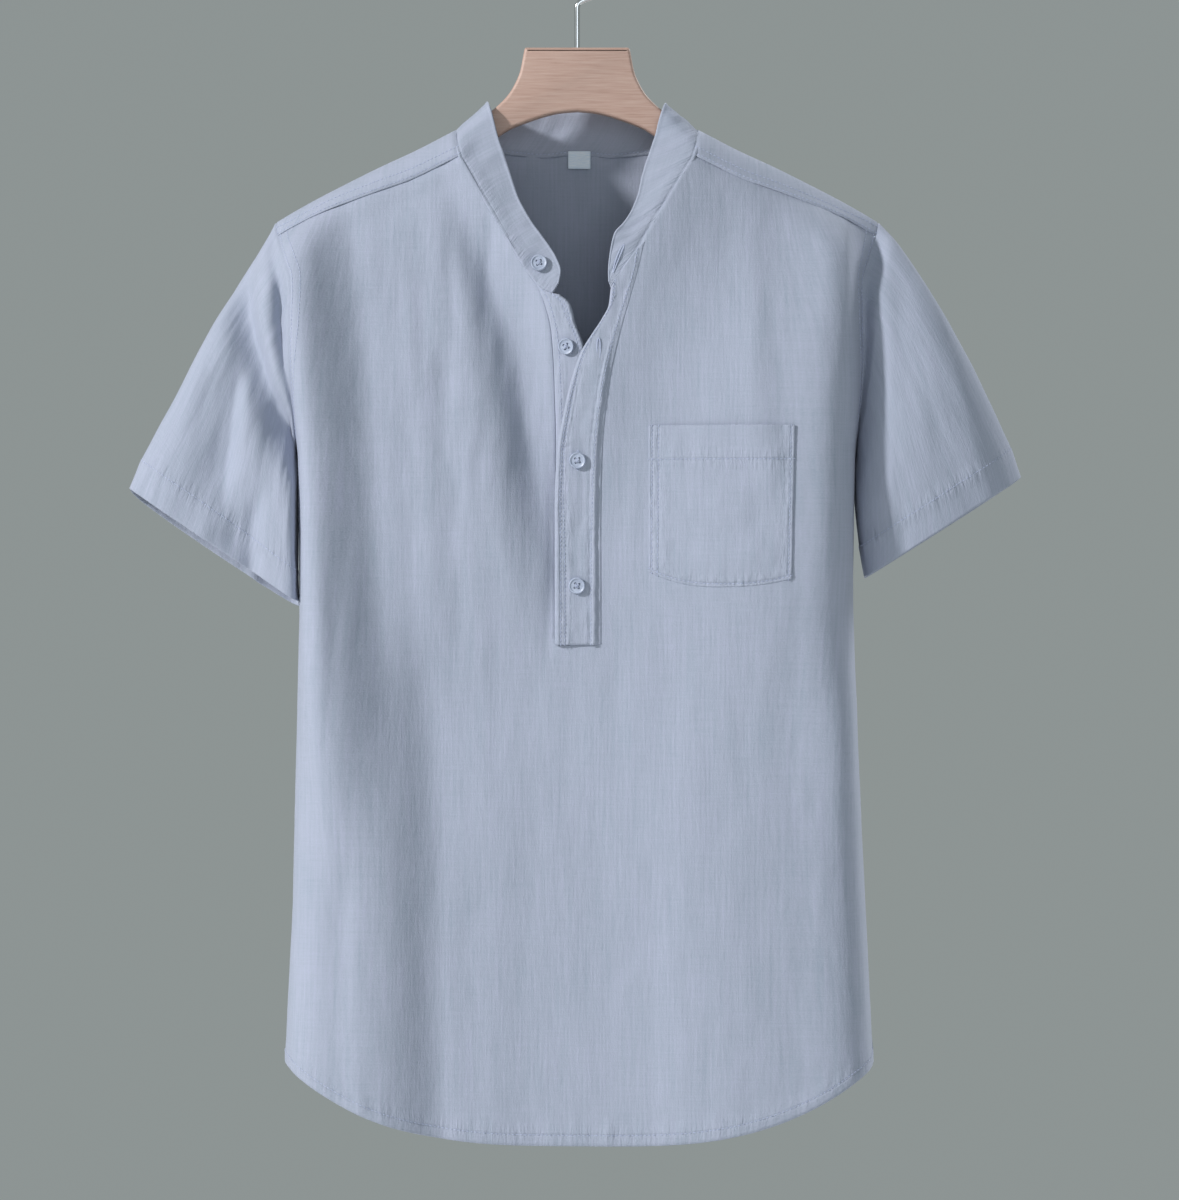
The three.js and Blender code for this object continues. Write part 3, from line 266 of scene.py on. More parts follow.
COLLAR_ROWS = [
    # seam x, seam z (in front) or angle (behind), top x, top z, lean, behind
    (-17.9, -256.5, -13.6, -249.5, 1, 0), (-22.5, -253.5, -12.1, -240, 1.5, 0),
    (-29, -248, -15.4, -230.5, 2, 0),
    (-36.5, -238, -21.2, -221, 2.5, 0), (-44.5, -225.3, -29, -210.5, 3, 0),
    (-53.2, -211, -36.9, -198.5, 3, 0),
    (-62.5, -195, -43, -186.5, 3.5, 0), (-71.5, -179, -48.8, -169.5, 4.5, 0),
    (-79, -165.5, -53.8, -154.5, 6, 0),
    (-84.6, -155.9, -58.2, -141, 7, 0), (-87.2, -145.2, -62.6, -122.5, 6, 0),
    (-87.8, -138.4, -64.2, -117.4, 3.5, 0), (-88, -136, -64.8, -116, 1.5, 0),
    (-87, 0.13, -65, -117.5, 2.5, 1),
    (-82, 0.32, -64, -118.5, 3.5, 1), (-70, 0.5, -57, -122, 2, 1), (-50, 0.635, -42, -121, 1, 1),
    (-25, 0.745, -21.5, -120, 0, 1), (0, 0.8, 0, -120, -1, 1), (25, 0.745, 21.5, -120, 0, 1),
    (50, 0.635, 42, -121, 1, 1), (70, 0.5, 57, -122, 2, 1), (82, 0.32, 64, -118.5, 3.5, 1),
    (87, 0.13, 64.5, -118.2, 2.5, 1), (88, -136, 64, -116.8, 1.5, 0), (87.8, -138.4, 63.4, -118, 3.5, 0),
    (87.2, -145.2, 61.8, -123, 7.5, 0), (84.6, -155.9, 57, -141, 11, 0), (79, -165.3, 52.8, -154.5, 11, 0),
    (71.2, -178.5, 47.8, -169.5, 10, 0), (62.5, -193.3, 44.4, -185, 8, 0), (54.5, -207, 39, -199, 6, 0),
    (47, -220, 33, -207.6, 4, 0), (39.5, -232.5, 27.5, -213.8, 2.5, 0), (32, -244.5, 24.4, -226, 1.5, 0),
    (27.5, -251, 22.9, -240, 1, 0), (24.9, -253.8, 23.2, -249, 0.5, 0),
]


def smoothstep(value: np.ndarray, low: float, high: float) -> np.ndarray:
    """A smooth rise from 0 at low to 1 at high."""
    t = np.clip((value - low) / (high - low), 0, 1)
    return t * t * (3 - 2 * t)


def mix(a: np.ndarray, b: np.ndarray, share: np.ndarray) -> np.ndarray:
    """A straight blend from a to b."""
    return a + (b - a) * share


def ripple(u: np.ndarray, v: np.ndarray, seed: float) -> np.ndarray:
    """Smooth noise from about -1 to 1 over two coordinates, the same on each run."""
    flat = [noise.noise((a, b, seed)) for a, b in zip(np.ravel(u), np.ravel(v))]
    return np.array(flat).reshape(np.shape(u)) * 1.6


def colour(hexcode: str) -> tuple[float, float, float, float]:
    """An sRGB hex colour as Blender's linear values."""
    parts = [int(hexcode[i:i + 2], 16) / 255 for i in (1, 3, 5)]
    linear = [c / 12.92 if c <= 0.04045 else ((c + 0.055) / 1.055) ** 2.4 for c in parts]
    return (*linear, 1.0)


@dataclass
class BodyForm:
    """The shape of the shirt's body: rounded sections that hang from the shoulder line."""

    steps: int = 400
    arc: np.ndarray = field(init=False)
    wide: np.ndarray = field(init=False)
    deep: np.ndarray = field(init=False)

    def __post_init__(self) -> None:
        """Works out the cross-section as shares of its half-width and depth, by length round it."""
        angle = np.linspace(0, math.pi / 2, self.steps)
        self.wide = np.sin(angle) ** (2 / WIDE_POWER)
        self.deep = np.clip(np.cos(angle), 0, 1) ** (2 / DEEP_POWER)
        step = np.hypot(np.diff(self.wide), SECTION_FLATNESS * np.diff(self.deep))
        self.arc = np.concatenate([[0], np.cumsum(step)])
        self.arc /= self.arc[-1]

    def shoulder(self, x: np.ndarray) -> np.ndarray:
        """Height of the shoulder line."""
        return SHOULDER.read("x", "z", np.abs(x))

    def half_width(self, z: np.ndarray, side: np.ndarray) -> np.ndarray:
        """Half the body's width at a height, on the side whose sign is given."""
        return np.where(np.asarray(side) < 0, BODY.read("z", "left", z), BODY.read("z", "right", z))

    def armhole_x(self, z: np.ndarray, sign: int) -> np.ndarray:
        """Distance of the armhole from the middle of the body."""
        return self.half_width(z, np.full_like(np.asarray(z, float), sign)) - BODY.read("z", "inset", z)

    def drop(self, angle: np.ndarray) -> np.ndarray:
        """How far below the shoulder line an angle round its curve lies."""
        angle = np.abs(angle)
        return TOP_CURVE * np.where(angle < math.pi / 2, 1 - np.cos(angle), 1 + angle - math.pi / 2)

    def angle(self, drop: np.ndarray) -> np.ndarray:
        """The angle round the shoulder's curve at a drop below it."""
        share = np.maximum(drop, 0) / TOP_CURVE
        return np.where(share < 1, np.arccos(np.clip(1 - share, -1, 1)), math.pi / 2 + share - 1)

    def place(self, x: np.ndarray, z: np.ndarray) -> tuple[np.ndarray, np.ndarray]:
        """The share of the way round a face and the angle down it, for a point at x, z."""
        x, z = np.broadcast_arrays(np.asarray(x, float), np.asarray(z, float))
        share = np.minimum(1, np.abs(x) / self.half_width(z, x))
        return np.sign(x) * np.interp(share, self.wide, self.arc), self.angle(self.shoulder(x) - z)

    def hem(self, hem: dict[str, float], x: np.ndarray) -> np.ndarray:
        """Height of a curved hem at x."""
        share = np.minimum(1, np.abs(x) / self.half_width(np.full(np.shape(x), hem["low"]), x))
        return hem["low"] + hem["rise"] * share**3

    def crease(self, face: int, x: np.ndarray, z: np.ndarray, flap: Flap) -> np.ndarray:
        """Small creases, crumpling and hem puckers of a face, as a move outwards."""
        front = face < 0
        out = np.zeros(np.shape(x))
        for fold in FRONT_CREASES if front else BACK_CREASES:
            if fold.flap in (Flap.BOTH, flap):
                out += fold.lift(x, z)
        seed = 3.0 if front else 11.0
        warp = ripple(x / 60, z / 90, seed) * 6
        # The cloth is more rumpled on the chest by the opening's left than elsewhere
        rumpled = 1 + (1.6 * np.exp(-(((x + 75) / 60) ** 2) - ((z + 330) / 120) ** 2) if front else 0)
        out += 0.32 * rumpled * ripple((x + warp) / 21, z / 74, seed + 1)
        out += 0.15 * rumpled * ripple((x + warp) / 9, z / 30, seed + 2)
        out += 0.05 * rumpled * ripple(x / 4.2, z / 9, seed + 3)
        above = z - self.hem(HEM_FRONT if front else HEM_BACK, x)
        puckers = 0.7 * np.abs(ripple(x / 7, z / 60, seed + 4)) + 0.5 * ripple(x / 4, z / 40, seed + 5)
        out += np.exp(-((above - 9) / 9) ** 2) * puckers
        out += 0.45 * smoothstep(9.5 - above, 0, 1.6)
        return out

    def point(self, face: int, arc: np.ndarray, angle: np.ndarray, flap: Flap = Flap.BOTH) -> np.ndarray:
        """The middle of the cloth, without the small creases.

        Args:
            face: -1 for the front and 1 for the back.
            arc: Share of the way round the face, -1 to 1.
            angle: Angle round the shoulder's curve, negative where the back comes over to the front.
            flap: The side of the front opening, for folds that lie in one side only.

        Returns:
            The points, in an array with a last axis of three.
        """
        arc, angle = np.broadcast_arrays(np.asarray(arc, float), np.asarray(angle, float))
        z = self.shoulder(np.zeros_like(arc)) - self.drop(angle)
        x = np.zeros_like(arc)
        wide = np.interp(np.abs(arc), self.arc, self.wide)
        for _ in range(6):
            x = np.sign(arc) * self.half_width(z, arc) * wide
            z = self.shoulder(x) - self.drop(angle)
        toward = np.where(angle < 0, -face, face)
        rounding = np.sin(np.minimum(np.abs(angle), math.pi / 2))
        side = np.interp(np.abs(arc), self.arc, self.deep)
        depth = np.where(toward < 0, BODY.read("z", "front", z),
                         BODY.read("z", "back", z)) * rounding * side
        front = sum(f.lift(x, z) for f in FRONT_FOLDS if f.flap in (Flap.BOTH, flap))
        back = sum(f.lift(x, z) for f in BACK_FOLDS)
        held = smoothstep(1 - np.abs(arc), 0, 0.11) * smoothstep(rounding, 0.25, 0.65)
        return np.stack([x, toward * (depth + np.where(toward < 0, front, back) * held), z], axis=-1)

    def front(self, x: np.ndarray, z: np.ndarray, flap: Flap = Flap.BOTH) -> np.ndarray:
        """The front's cloth at x, z."""
        arc, angle = self.place(x, z)
        return self.point(-1, arc, angle, flap)

    def on_front(self, x: np.ndarray, z: np.ndarray, flap: Flap, lift: np.ndarray | float) -> np.ndarray:
        """Points that lie a distance in front of the creased front at x, z."""
        step = 2.0
        across = self.front(x + step, z, flap) - self.front(x - step, z, flap)
        down = self.front(x, z - step, flap) - self.front(x, z + step, flap)
        normal = np.cross(down, across)
        normal /= np.linalg.norm(normal, axis=-1, keepdims=True)
        out = self.crease(-1, x, z, flap) + lift
        return self.front(x, z, flap) + normal * np.asarray(out)[..., None]


FORM = BodyForm()


@dataclass
class Grid:
    """A rectangular sheet of points with the cloth's own coordinates at each."""

    points: np.ndarray
    cloth: np.ndarray

    @staticmethod
    def normals(points: np.ndarray, outward: int) -> np.ndarray:
        """Normals of a sheet of points, turned to the side that `outward` gives."""
        down = np.gradient(points, axis=0)
        along = np.gradient(points, axis=1)
        cross = np.cross(down, along) * outward
        return cross / np.maximum(np.linalg.norm(cross, axis=-1, keepdims=True), 1e-9)


def cloth_wall(name: str, grids: list[Grid], thickness: float, outward: int) -> bpy.types.Object:
    """Makes one closed wall of cloth with rounded edges from sheets that share their edges.

    Args:
        name: The new object's name.
        grids: Sheets of points in millimetres.
        thickness: Thickness of the wall.
        outward: 1 where the outside is on the side of down the rows x along the columns.

    Returns:
        The object, at the origin, with a vector attribute "cloth" in millimetres.
    """
    points = np.concatenate([g.points.reshape(-1, 3) for g in grids])
    cloth = np.concatenate([g.cloth.reshape(-1, 3) for g in grids])
    _, first, ids = np.unique(np.round(points, 2), axis=0, return_index=True, return_inverse=True)
    ids = ids.reshape(-1)
    points, cloth = points[first], cloth[first]
    quads = []
    start = 0
    for g in grids:
        rows, columns = g.points.shape[:2]
        index = ids[start:start + rows * columns].reshape(rows, columns)
        start += rows * columns
        a, b, c, d = index[:-1, :-1], index[1:, :-1], index[1:, 1:], index[:-1, 1:]
        quads.append(np.stack([a, b, c, d], axis=-1).reshape(-1, 4))
    quads = np.concatenate(quads)
    if outward < 0:
        quads = quads[:, ::-1]
    diagonal = np.cross(points[quads[:, 2]] - points[quads[:, 0]],
                        points[quads[:, 3]] - points[quads[:, 1]])
    normals = np.zeros_like(points)
    for corner in range(4):
        np.add.at(normals, quads[:, corner], diagonal)
    normals /= np.maximum(np.linalg.norm(normals, axis=1, keepdims=True), 1e-9)
    edges = np.concatenate([quads[:, [k, (k + 1) % 4]] for k in range(4)])
    edges = edges[edges[:, 0] != edges[:, 1]]
    keys = {(int(a), int(b)) for a, b in edges}
    rim = np.array([(a, b) for a, b in keys if (b, a) not in keys])
    outwards = np.zeros_like(points)
    along = points[rim[:, 1]] - points[rim[:, 0]]
    side = np.cross(along, normals[rim[:, 0]])
    side /= np.maximum(np.linalg.norm(side, axis=1, keepdims=True), 1e-9)
    np.add.at(outwards, rim[:, 0], side)
    np.add.at(outwards, rim[:, 1], side)
    border = np.unique(rim)
    outwards /= np.maximum(np.linalg.norm(outwards, axis=1, keepdims=True), 1e-9)
    count = len(points)
    half = thickness / 2
    ridge = {int(v): 2 * count + k for k, v in enumerate(border)}
    vertices = np.concatenate([
        points + normals * half, points - normals * half, points[border] + outwards[border] * half * 0.9,
    ])
    values = np.concatenate([cloth, cloth, cloth[border]])
    faces = [[v for k, v in enumerate(q) if v != q[k - 1]] for q in quads.tolist()]
    inner = [[v + count for v in reversed(f)] for f in faces]
    sides = []
    for a, b in rim.tolist():
        sides.append([b, a, ridge[a], ridge[b]])
        sides.append([ridge[b], ridge[a], a + count, b + count])
    return mesh_object(name, vertices, [f for f in faces + inner + sides if len(f) > 2], values)


def mesh_object(name: str, vertices: np.ndarray, faces: list[list[int]], cloth: np.ndarray | None = None,
                smooth: bool = True) -> bpy.types.Object:
    """Makes a mesh object at the origin from points in millimetres.

    Args:
        name: The new object's name.
        vertices: The points.
        faces: Vertex numbers of each face.
        cloth: Values of the "cloth" attribute at each vertex, if it has one.
        smooth: Whether the faces are shaded smooth.

    Returns:
        The object, linked to the scene.
    """
    mesh = bpy.data.meshes.new(name)
    mesh.from_pydata((np.asarray(vertices) * MM).tolist(), [], faces)
    if cloth is not None:
        attribute = mesh.attributes.new("cloth", "FLOAT_VECTOR", "POINT")
        attribute.data.foreach_set("vector", np.asarray(cloth, np.float32).ravel())
    mesh.validate()
    mesh.update()
    for polygon in mesh.polygons:
        polygon.use_smooth = smooth
    obj = bpy.data.objects.new(name, mesh)
    bpy.context.scene.collection.objects.link(obj)
    return obj


def spanned(left, right, top, bottom, columns: int, rows: int) -> tuple[np.ndarray, np.ndarray]:
    """Fills in a face's coordinates between four edges, each a function of 0 to 1.

    Args:
        left: The left edge, as a function that gives (arc, angle) down it.
        right: The right edge.
        top: The top edge, from left to right.
        bottom: The bottom edge.
        columns: Number of cells across.
        rows: Number of cells down.

    Returns:
        The arcs and angles of every point, row by row.
    """
    u = np.linspace(0, 1, columns + 1)[None, :]
    v = np.linspace(0, 1, rows + 1)[:, None]
    out = []
    for key in (0, 1):
        edges = mix(left(v)[key], right(v)[key], u) + mix(top(u)[key], bottom(u)[key], v)
        corners = [[top(np.array(c))[key] for c in (0.0, 1.0)],
                   [bottom(np.array(c))[key] for c in (0.0, 1.0)]]
        across = mix(mix(corners[0][0], corners[0][1], u), mix(corners[1][0], corners[1][1], u), v)
        out.append(edges - across)
    return out[0], out[1]


def side_edge(table: Table, sign: int):
    """The armhole and side seam down one side, as a function that gives (arc, angle)."""

    def edge(v: np.ndarray) -> tuple[np.ndarray, np.ndarray]:
        """The edge's arc and angle at v."""
        z = table.read("v", "z", v)
        arc, angle = FORM.place(sign * FORM.armhole_x(z, sign), z)
        return np.where(z > UNDERARM_Z, arc, float(sign)), angle

    return edge


def length_along(points: np.ndarray, axis: int) -> np.ndarray:
    """Length from the start along an axis of a sheet of points."""
    step = np.linalg.norm(np.diff(points, axis=axis), axis=-1)
    zero = np.zeros_like(np.take(step, [0], axis=axis))
    return np.concatenate([zero, np.cumsum(step, axis=axis)], axis=axis)


def inset_line(points: np.ndarray, normals: np.ndarray, border: str, distance: float,
               lift: float) -> np.ndarray:
    """A line that runs at a distance inside one border of a sheet of points, for a row of stitches.

    Args:
        points: The sheet of points.
        normals: Their normals.
        border: "top", "bottom", "left" or "right".
        distance: How far inside the border, in mm.
        lift: How far off the points the line lies.

    Returns:
        The line's points.
    """
    if border in ("left", "right"):
        points, normals = points.swapaxes(0, 1), normals.swapaxes(0, 1)
    if border in ("bottom", "right"):
        points, normals = points[::-1], normals[::-1]
    lengths = length_along(points, 0)
    line = []
    for column in range(points.shape[1]):
        along = lengths[:, column]
        line.append([
            np.interp(distance, along, points[:, column, c])
            + lift * np.interp(distance, along, normals[:, column, c])
            for c in range(3)
        ])
    return np.array(line)


@dataclass
class Panels:
    """The front and the back, whose edges the sleeves and the seams follow."""

    side_columns: int = 78
    middle_columns: int = 12
    front_rows: int = 280
    shoulder_columns: int = 28
    neck_columns: int = 30
    back_rows: int = 230
    strip_rows: int = 10
    stitch_lines: list[np.ndarray] = field(default_factory=list)
    edges: dict[tuple[str, int], tuple[np.ndarray, np.ndarray, np.ndarray]] = field(default_factory=dict)

    def front_side(self, sign: int) -> np.ndarray:
        """Points of one side of the front, from the armhole and side seam to the neck and placket."""
        flap = L if sign < 0 else R
        table = LEFT_INNER if sign < 0 else RIGHT_INNER
        outer = side_edge(FRONT_OUTER, sign)
        arm_x = float(FORM.armhole_x(FRONT_OUTER.read("v", "z", 0), sign))

        def inner(v: np.ndarray) -> tuple[np.ndarray, np.ndarray]:
            """The neckline, placket seam and centre line."""
            return FORM.place(table.read("v", "x", v), table.read("v", "z", v))

        def shoulder(share: np.ndarray) -> tuple[np.ndarray, np.ndarray]:
            """The upper edge, which lies a little way under the back's seam."""
            x = mix(arm_x, abs(float(table.read("v", "x", 0))), share)
            return FORM.place(sign * x, FORM.shoulder(x) - SEAM_DROP.read("x", "drop", x) + 1.6)

        def hem(share: np.ndarray) -> tuple[np.ndarray, np.ndarray]:
            """The curved hem."""
            arc = mix(float(outer(np.array(1.0))[0]), float(inner(np.array(1.0))[0]), share)
            wide = np.interp(np.abs(arc), FORM.arc, FORM.wide)
            x = sign * FORM.half_width(np.full_like(wide, HEM_FRONT["low"]),
                                       np.full_like(wide, sign)) * wide
            return arc, FORM.angle(FORM.shoulder(x) - FORM.hem(HEM_FRONT, x))

        arc, angle = spanned(outer, inner, shoulder, hem, self.side_columns, self.front_rows)
        base = FORM.point(-1, arc, angle, flap)
        under = -0.62 * (1 - smoothstep(np.linspace(0, 1, self.front_rows + 1)[:, None], 0, 0.014))
        points = self.finish(base, -1, sign if sign < 0 else -sign, flap, under)
        points = points if sign < 0 else points[:, ::-1]
        return points

    def finish(self, base: np.ndarray, face: int, outward: int, flap: Flap, lift: np.ndarray) -> np.ndarray:
        """Adds creases to a sheet of a face, along its normals."""
        normals = Grid.normals(base, 1)
        turn = np.sign(np.mean(normals[..., 1]) * face)
        normals = normals * turn
        return base + normals * (FORM.crease(face, base[..., 0], base[..., 2], flap) + lift)[..., None]

    def front_middle(self, left: np.ndarray, right: np.ndarray) -> np.ndarray:
        """The cloth between the two sides, below the placket."""
        start = self.front_rows // 2
        a, b = left[start:, -1], right[start:, 0]
        share = np.linspace(0, 1, self.middle_columns + 1)[None, :]
        x = mix(a[:, None, 0], b[:, None, 0], share)
        z = mix(a[:, None, 2], b[:, None, 2], share)
        points = FORM.on_front(x, z, Flap.BOTH, 0.0)
        points[:, 0], points[:, -1] = a, b
        return points

    def back_main(self) -> np.ndarray:
        """Points of the back below the shoulder line."""
        columns = 2 * (self.shoulder_columns + self.neck_columns)
        neck_share = self.neck_columns / (self.neck_columns + self.shoulder_columns)

        def top(u: np.ndarray) -> tuple[np.ndarray, np.ndarray]:
            """The neckline, and the shoulder line on each side of it."""
            across = np.abs(2 * u - 1) / neck_share
            beyond = (across - 1) * neck_share / (1 - neck_share)
            x = np.where(across < 1, (1 - (1 - np.minimum(across, 1)) ** 1.5) * SIDE_NECK_X,
                         mix(SIDE_NECK_X, SHOULDER_TIP_X, beyond))
            angle = np.where(across < 1, BACK_NECK.read("x", "angle", x), 0.0)
            x = np.sign(u - 0.5) * x
            return FORM.place(x, FORM.shoulder(x) - FORM.drop(angle))[0], angle

        def bottom(u: np.ndarray) -> tuple[np.ndarray, np.ndarray]:
            """The curved hem."""
            arc = mix(-1.0, 1.0, u)
            wide = np.interp(np.abs(arc), FORM.arc, FORM.wide)
            x = np.sign(arc) * FORM.half_width(np.full_like(wide, HEM_BACK["low"]), arc) * wide
            return arc, FORM.angle(FORM.shoulder(x) - FORM.hem(HEM_BACK, x))

        arc, angle = spanned(side_edge(BACK_OUTER, -1), side_edge(BACK_OUTER, 1), top, bottom, columns,
                             self.back_rows)
        v = np.linspace(0, 1, self.back_rows + 1)
        dense = 0.5 * v**2 + 0.5 * v  # rows crowd towards the shoulder, where the cloth turns over
        rows = np.stack([np.interp(dense, v, column) for column in arc.T], axis=1)
        angles = np.stack([np.interp(dense, v, column) for column in angle.T], axis=1)
        base = FORM.point(1, rows, angles)
        fade = smoothstep(angles, 0.02, 0.25)
        normals = Grid.normals(base, -1)
        crease = FORM.crease(1, base[..., 0], base[..., 2], Flap.BOTH)
        return base + normals * (crease * fade)[..., None]

    def over_shoulder(self, sign: int, main: np.ndarray) -> np.ndarray:
        """The part of the back that comes over one shoulder to the seam in front."""
        share = np.linspace(0, 1, self.shoulder_columns + 1)[None, :]
        arm_x = float(FORM.armhole_x(FRONT_OUTER.read("v", "z", 0), sign))
        seam_x = mix(arm_x, 84.6, share)
        x = mix(SHOULDER_TIP_X, SIDE_NECK_X, share)
        down = np.linspace(1, 0, self.strip_rows + 1)[:, None]
        now_x = mix(x, seam_x, down**3)
        angle = -FORM.angle(SEAM_DROP.read("x", "drop", seam_x)) * down
        arc = FORM.place(sign * now_x, FORM.shoulder(now_x) - FORM.drop(angle))[0]
        base = FORM.point(1, arc, angle * np.ones_like(now_x))
        normals = Grid.normals(base, 1 if sign < 0 else -1)
        normals *= np.sign(np.mean(normals[..., 2]))
        lift = 0.16 * smoothstep(down, 0.3, 1.0) + 0.18 * ripple(base[..., 0] / 8, base[..., 2] / 30,
                                                                 7.0) * down
        points = base + normals * lift[..., None]
        points = points if sign < 0 else points[:, ::-1]
        outer = slice(0, self.shoulder_columns + 1) if sign < 0 else slice(-self.shoulder_columns - 1, None)
        points[-1] = main[0, outer]
        return points

    def remember(self, name: str, sign: int, points: np.ndarray, last: int) -> None:
        """Keeps one armhole edge with its direction out of the panel and its normal."""
        sheet = points if sign < 0 else points[:, ::-1]
        normals = Grid.normals(sheet, 1)
        inside = sheet[: last + 1, 0] - np.array([sign * 150.0, 0, -260.0])
        turn = np.sign(np.sum(normals[: last + 1, 0] * inside, axis=-1))
        out = sheet[: last + 1, 0] - sheet[: last + 1, 2]
        out /= np.linalg.norm(out, axis=-1, keepdims=True)
        self.edges[name, sign] = (sheet[: last + 1, 0], out, normals[: last + 1, 0] * turn[:, None])

    def build(self) -> list[bpy.types.Object]:
        """Makes both panels."""
        left, right = self.front_side(-1), self.front_side(1)
        middle = self.front_middle(left, right)
        main = self.back_main()
        strips = {sign: self.over_shoulder(sign, main) for sign in (-1, 1)}
        arm_row = int(round(0.3 * self.front_rows))
        back_z = main[:, 0, 2]
        back_row = int(np.argmin(np.abs(back_z - UNDERARM_Z)))
        for sign, side in ((-1, left), (1, right)):
            self.remember("front", sign, side, arm_row)
            self.remember("strip", sign, strips[sign], self.strip_rows)
            self.remember("back", sign, main, back_row)
        front = cloth_wall("front_cloth", [self.grid(p, HEM_FRONT) for p in (left, right, middle)],
                           CLOTH, 1)
        back = cloth_wall("back_cloth", [self.grid(p, HEM_BACK) for p in (main, *strips.values())],
                          CLOTH, -1)
        self.add_stitches(left, right, middle, main, strips)
        return [front, back]

    def grid(self, points: np.ndarray, hem: dict[str, float]) -> Grid:
        """A sheet with its cloth coordinates and its distance from the hem's stitches."""
        x, z = points[..., 0], points[..., 2]
        around = np.abs(points[..., 1]) * 0.6 * smoothstep(np.abs(x), 120, 215) * np.sign(x)
        stitch = np.abs(z - FORM.hem(hem, x) - 7.5)
        return Grid(points, np.stack([x - around, z, stitch], axis=-1))

    def add_stitches(self, left, right, middle, main, strips) -> None:
        """Rows of stitches along the hems, shoulder seams and armholes."""
        lift = CLOTH / 2 + 0.1
        front = Grid.normals(left, 1), Grid.normals(middle, 1), Grid.normals(right, 1)
        front = [n * -np.sign(np.mean(n[..., 1])) for n in front]
        hem = [inset_line(p, n, "bottom", 7.5, lift) for p, n in zip((left, middle, right), front)]
        self.stitch_lines.append(np.concatenate([hem[0], hem[1][1:-1], hem[2]]))
        back = Grid.normals(main, -1)
        back *= np.sign(np.mean(back[..., 1]))
        self.stitch_lines.append(inset_line(main, back, "bottom", 7.5, lift))
        rows = slice(0, int(0.26 * self.front_rows))
        for side, normals, border in ((left, front[0], "left"), (right, front[2], "right")):
            for distance in (1.6, 8.0):
                self.stitch_lines.append(inset_line(side[rows], normals[rows], border, distance, lift))
        for sign, strip in strips.items():
            normals = Grid.normals(strip, 1)
            normals *= np.sign(np.mean(normals[..., 2]))
            self.stitch_lines.append(inset_line(strip, normals, "top", 1.8, lift))
            self.stitch_lines.append(inset_line(strip, normals, "top", 7.5, lift))


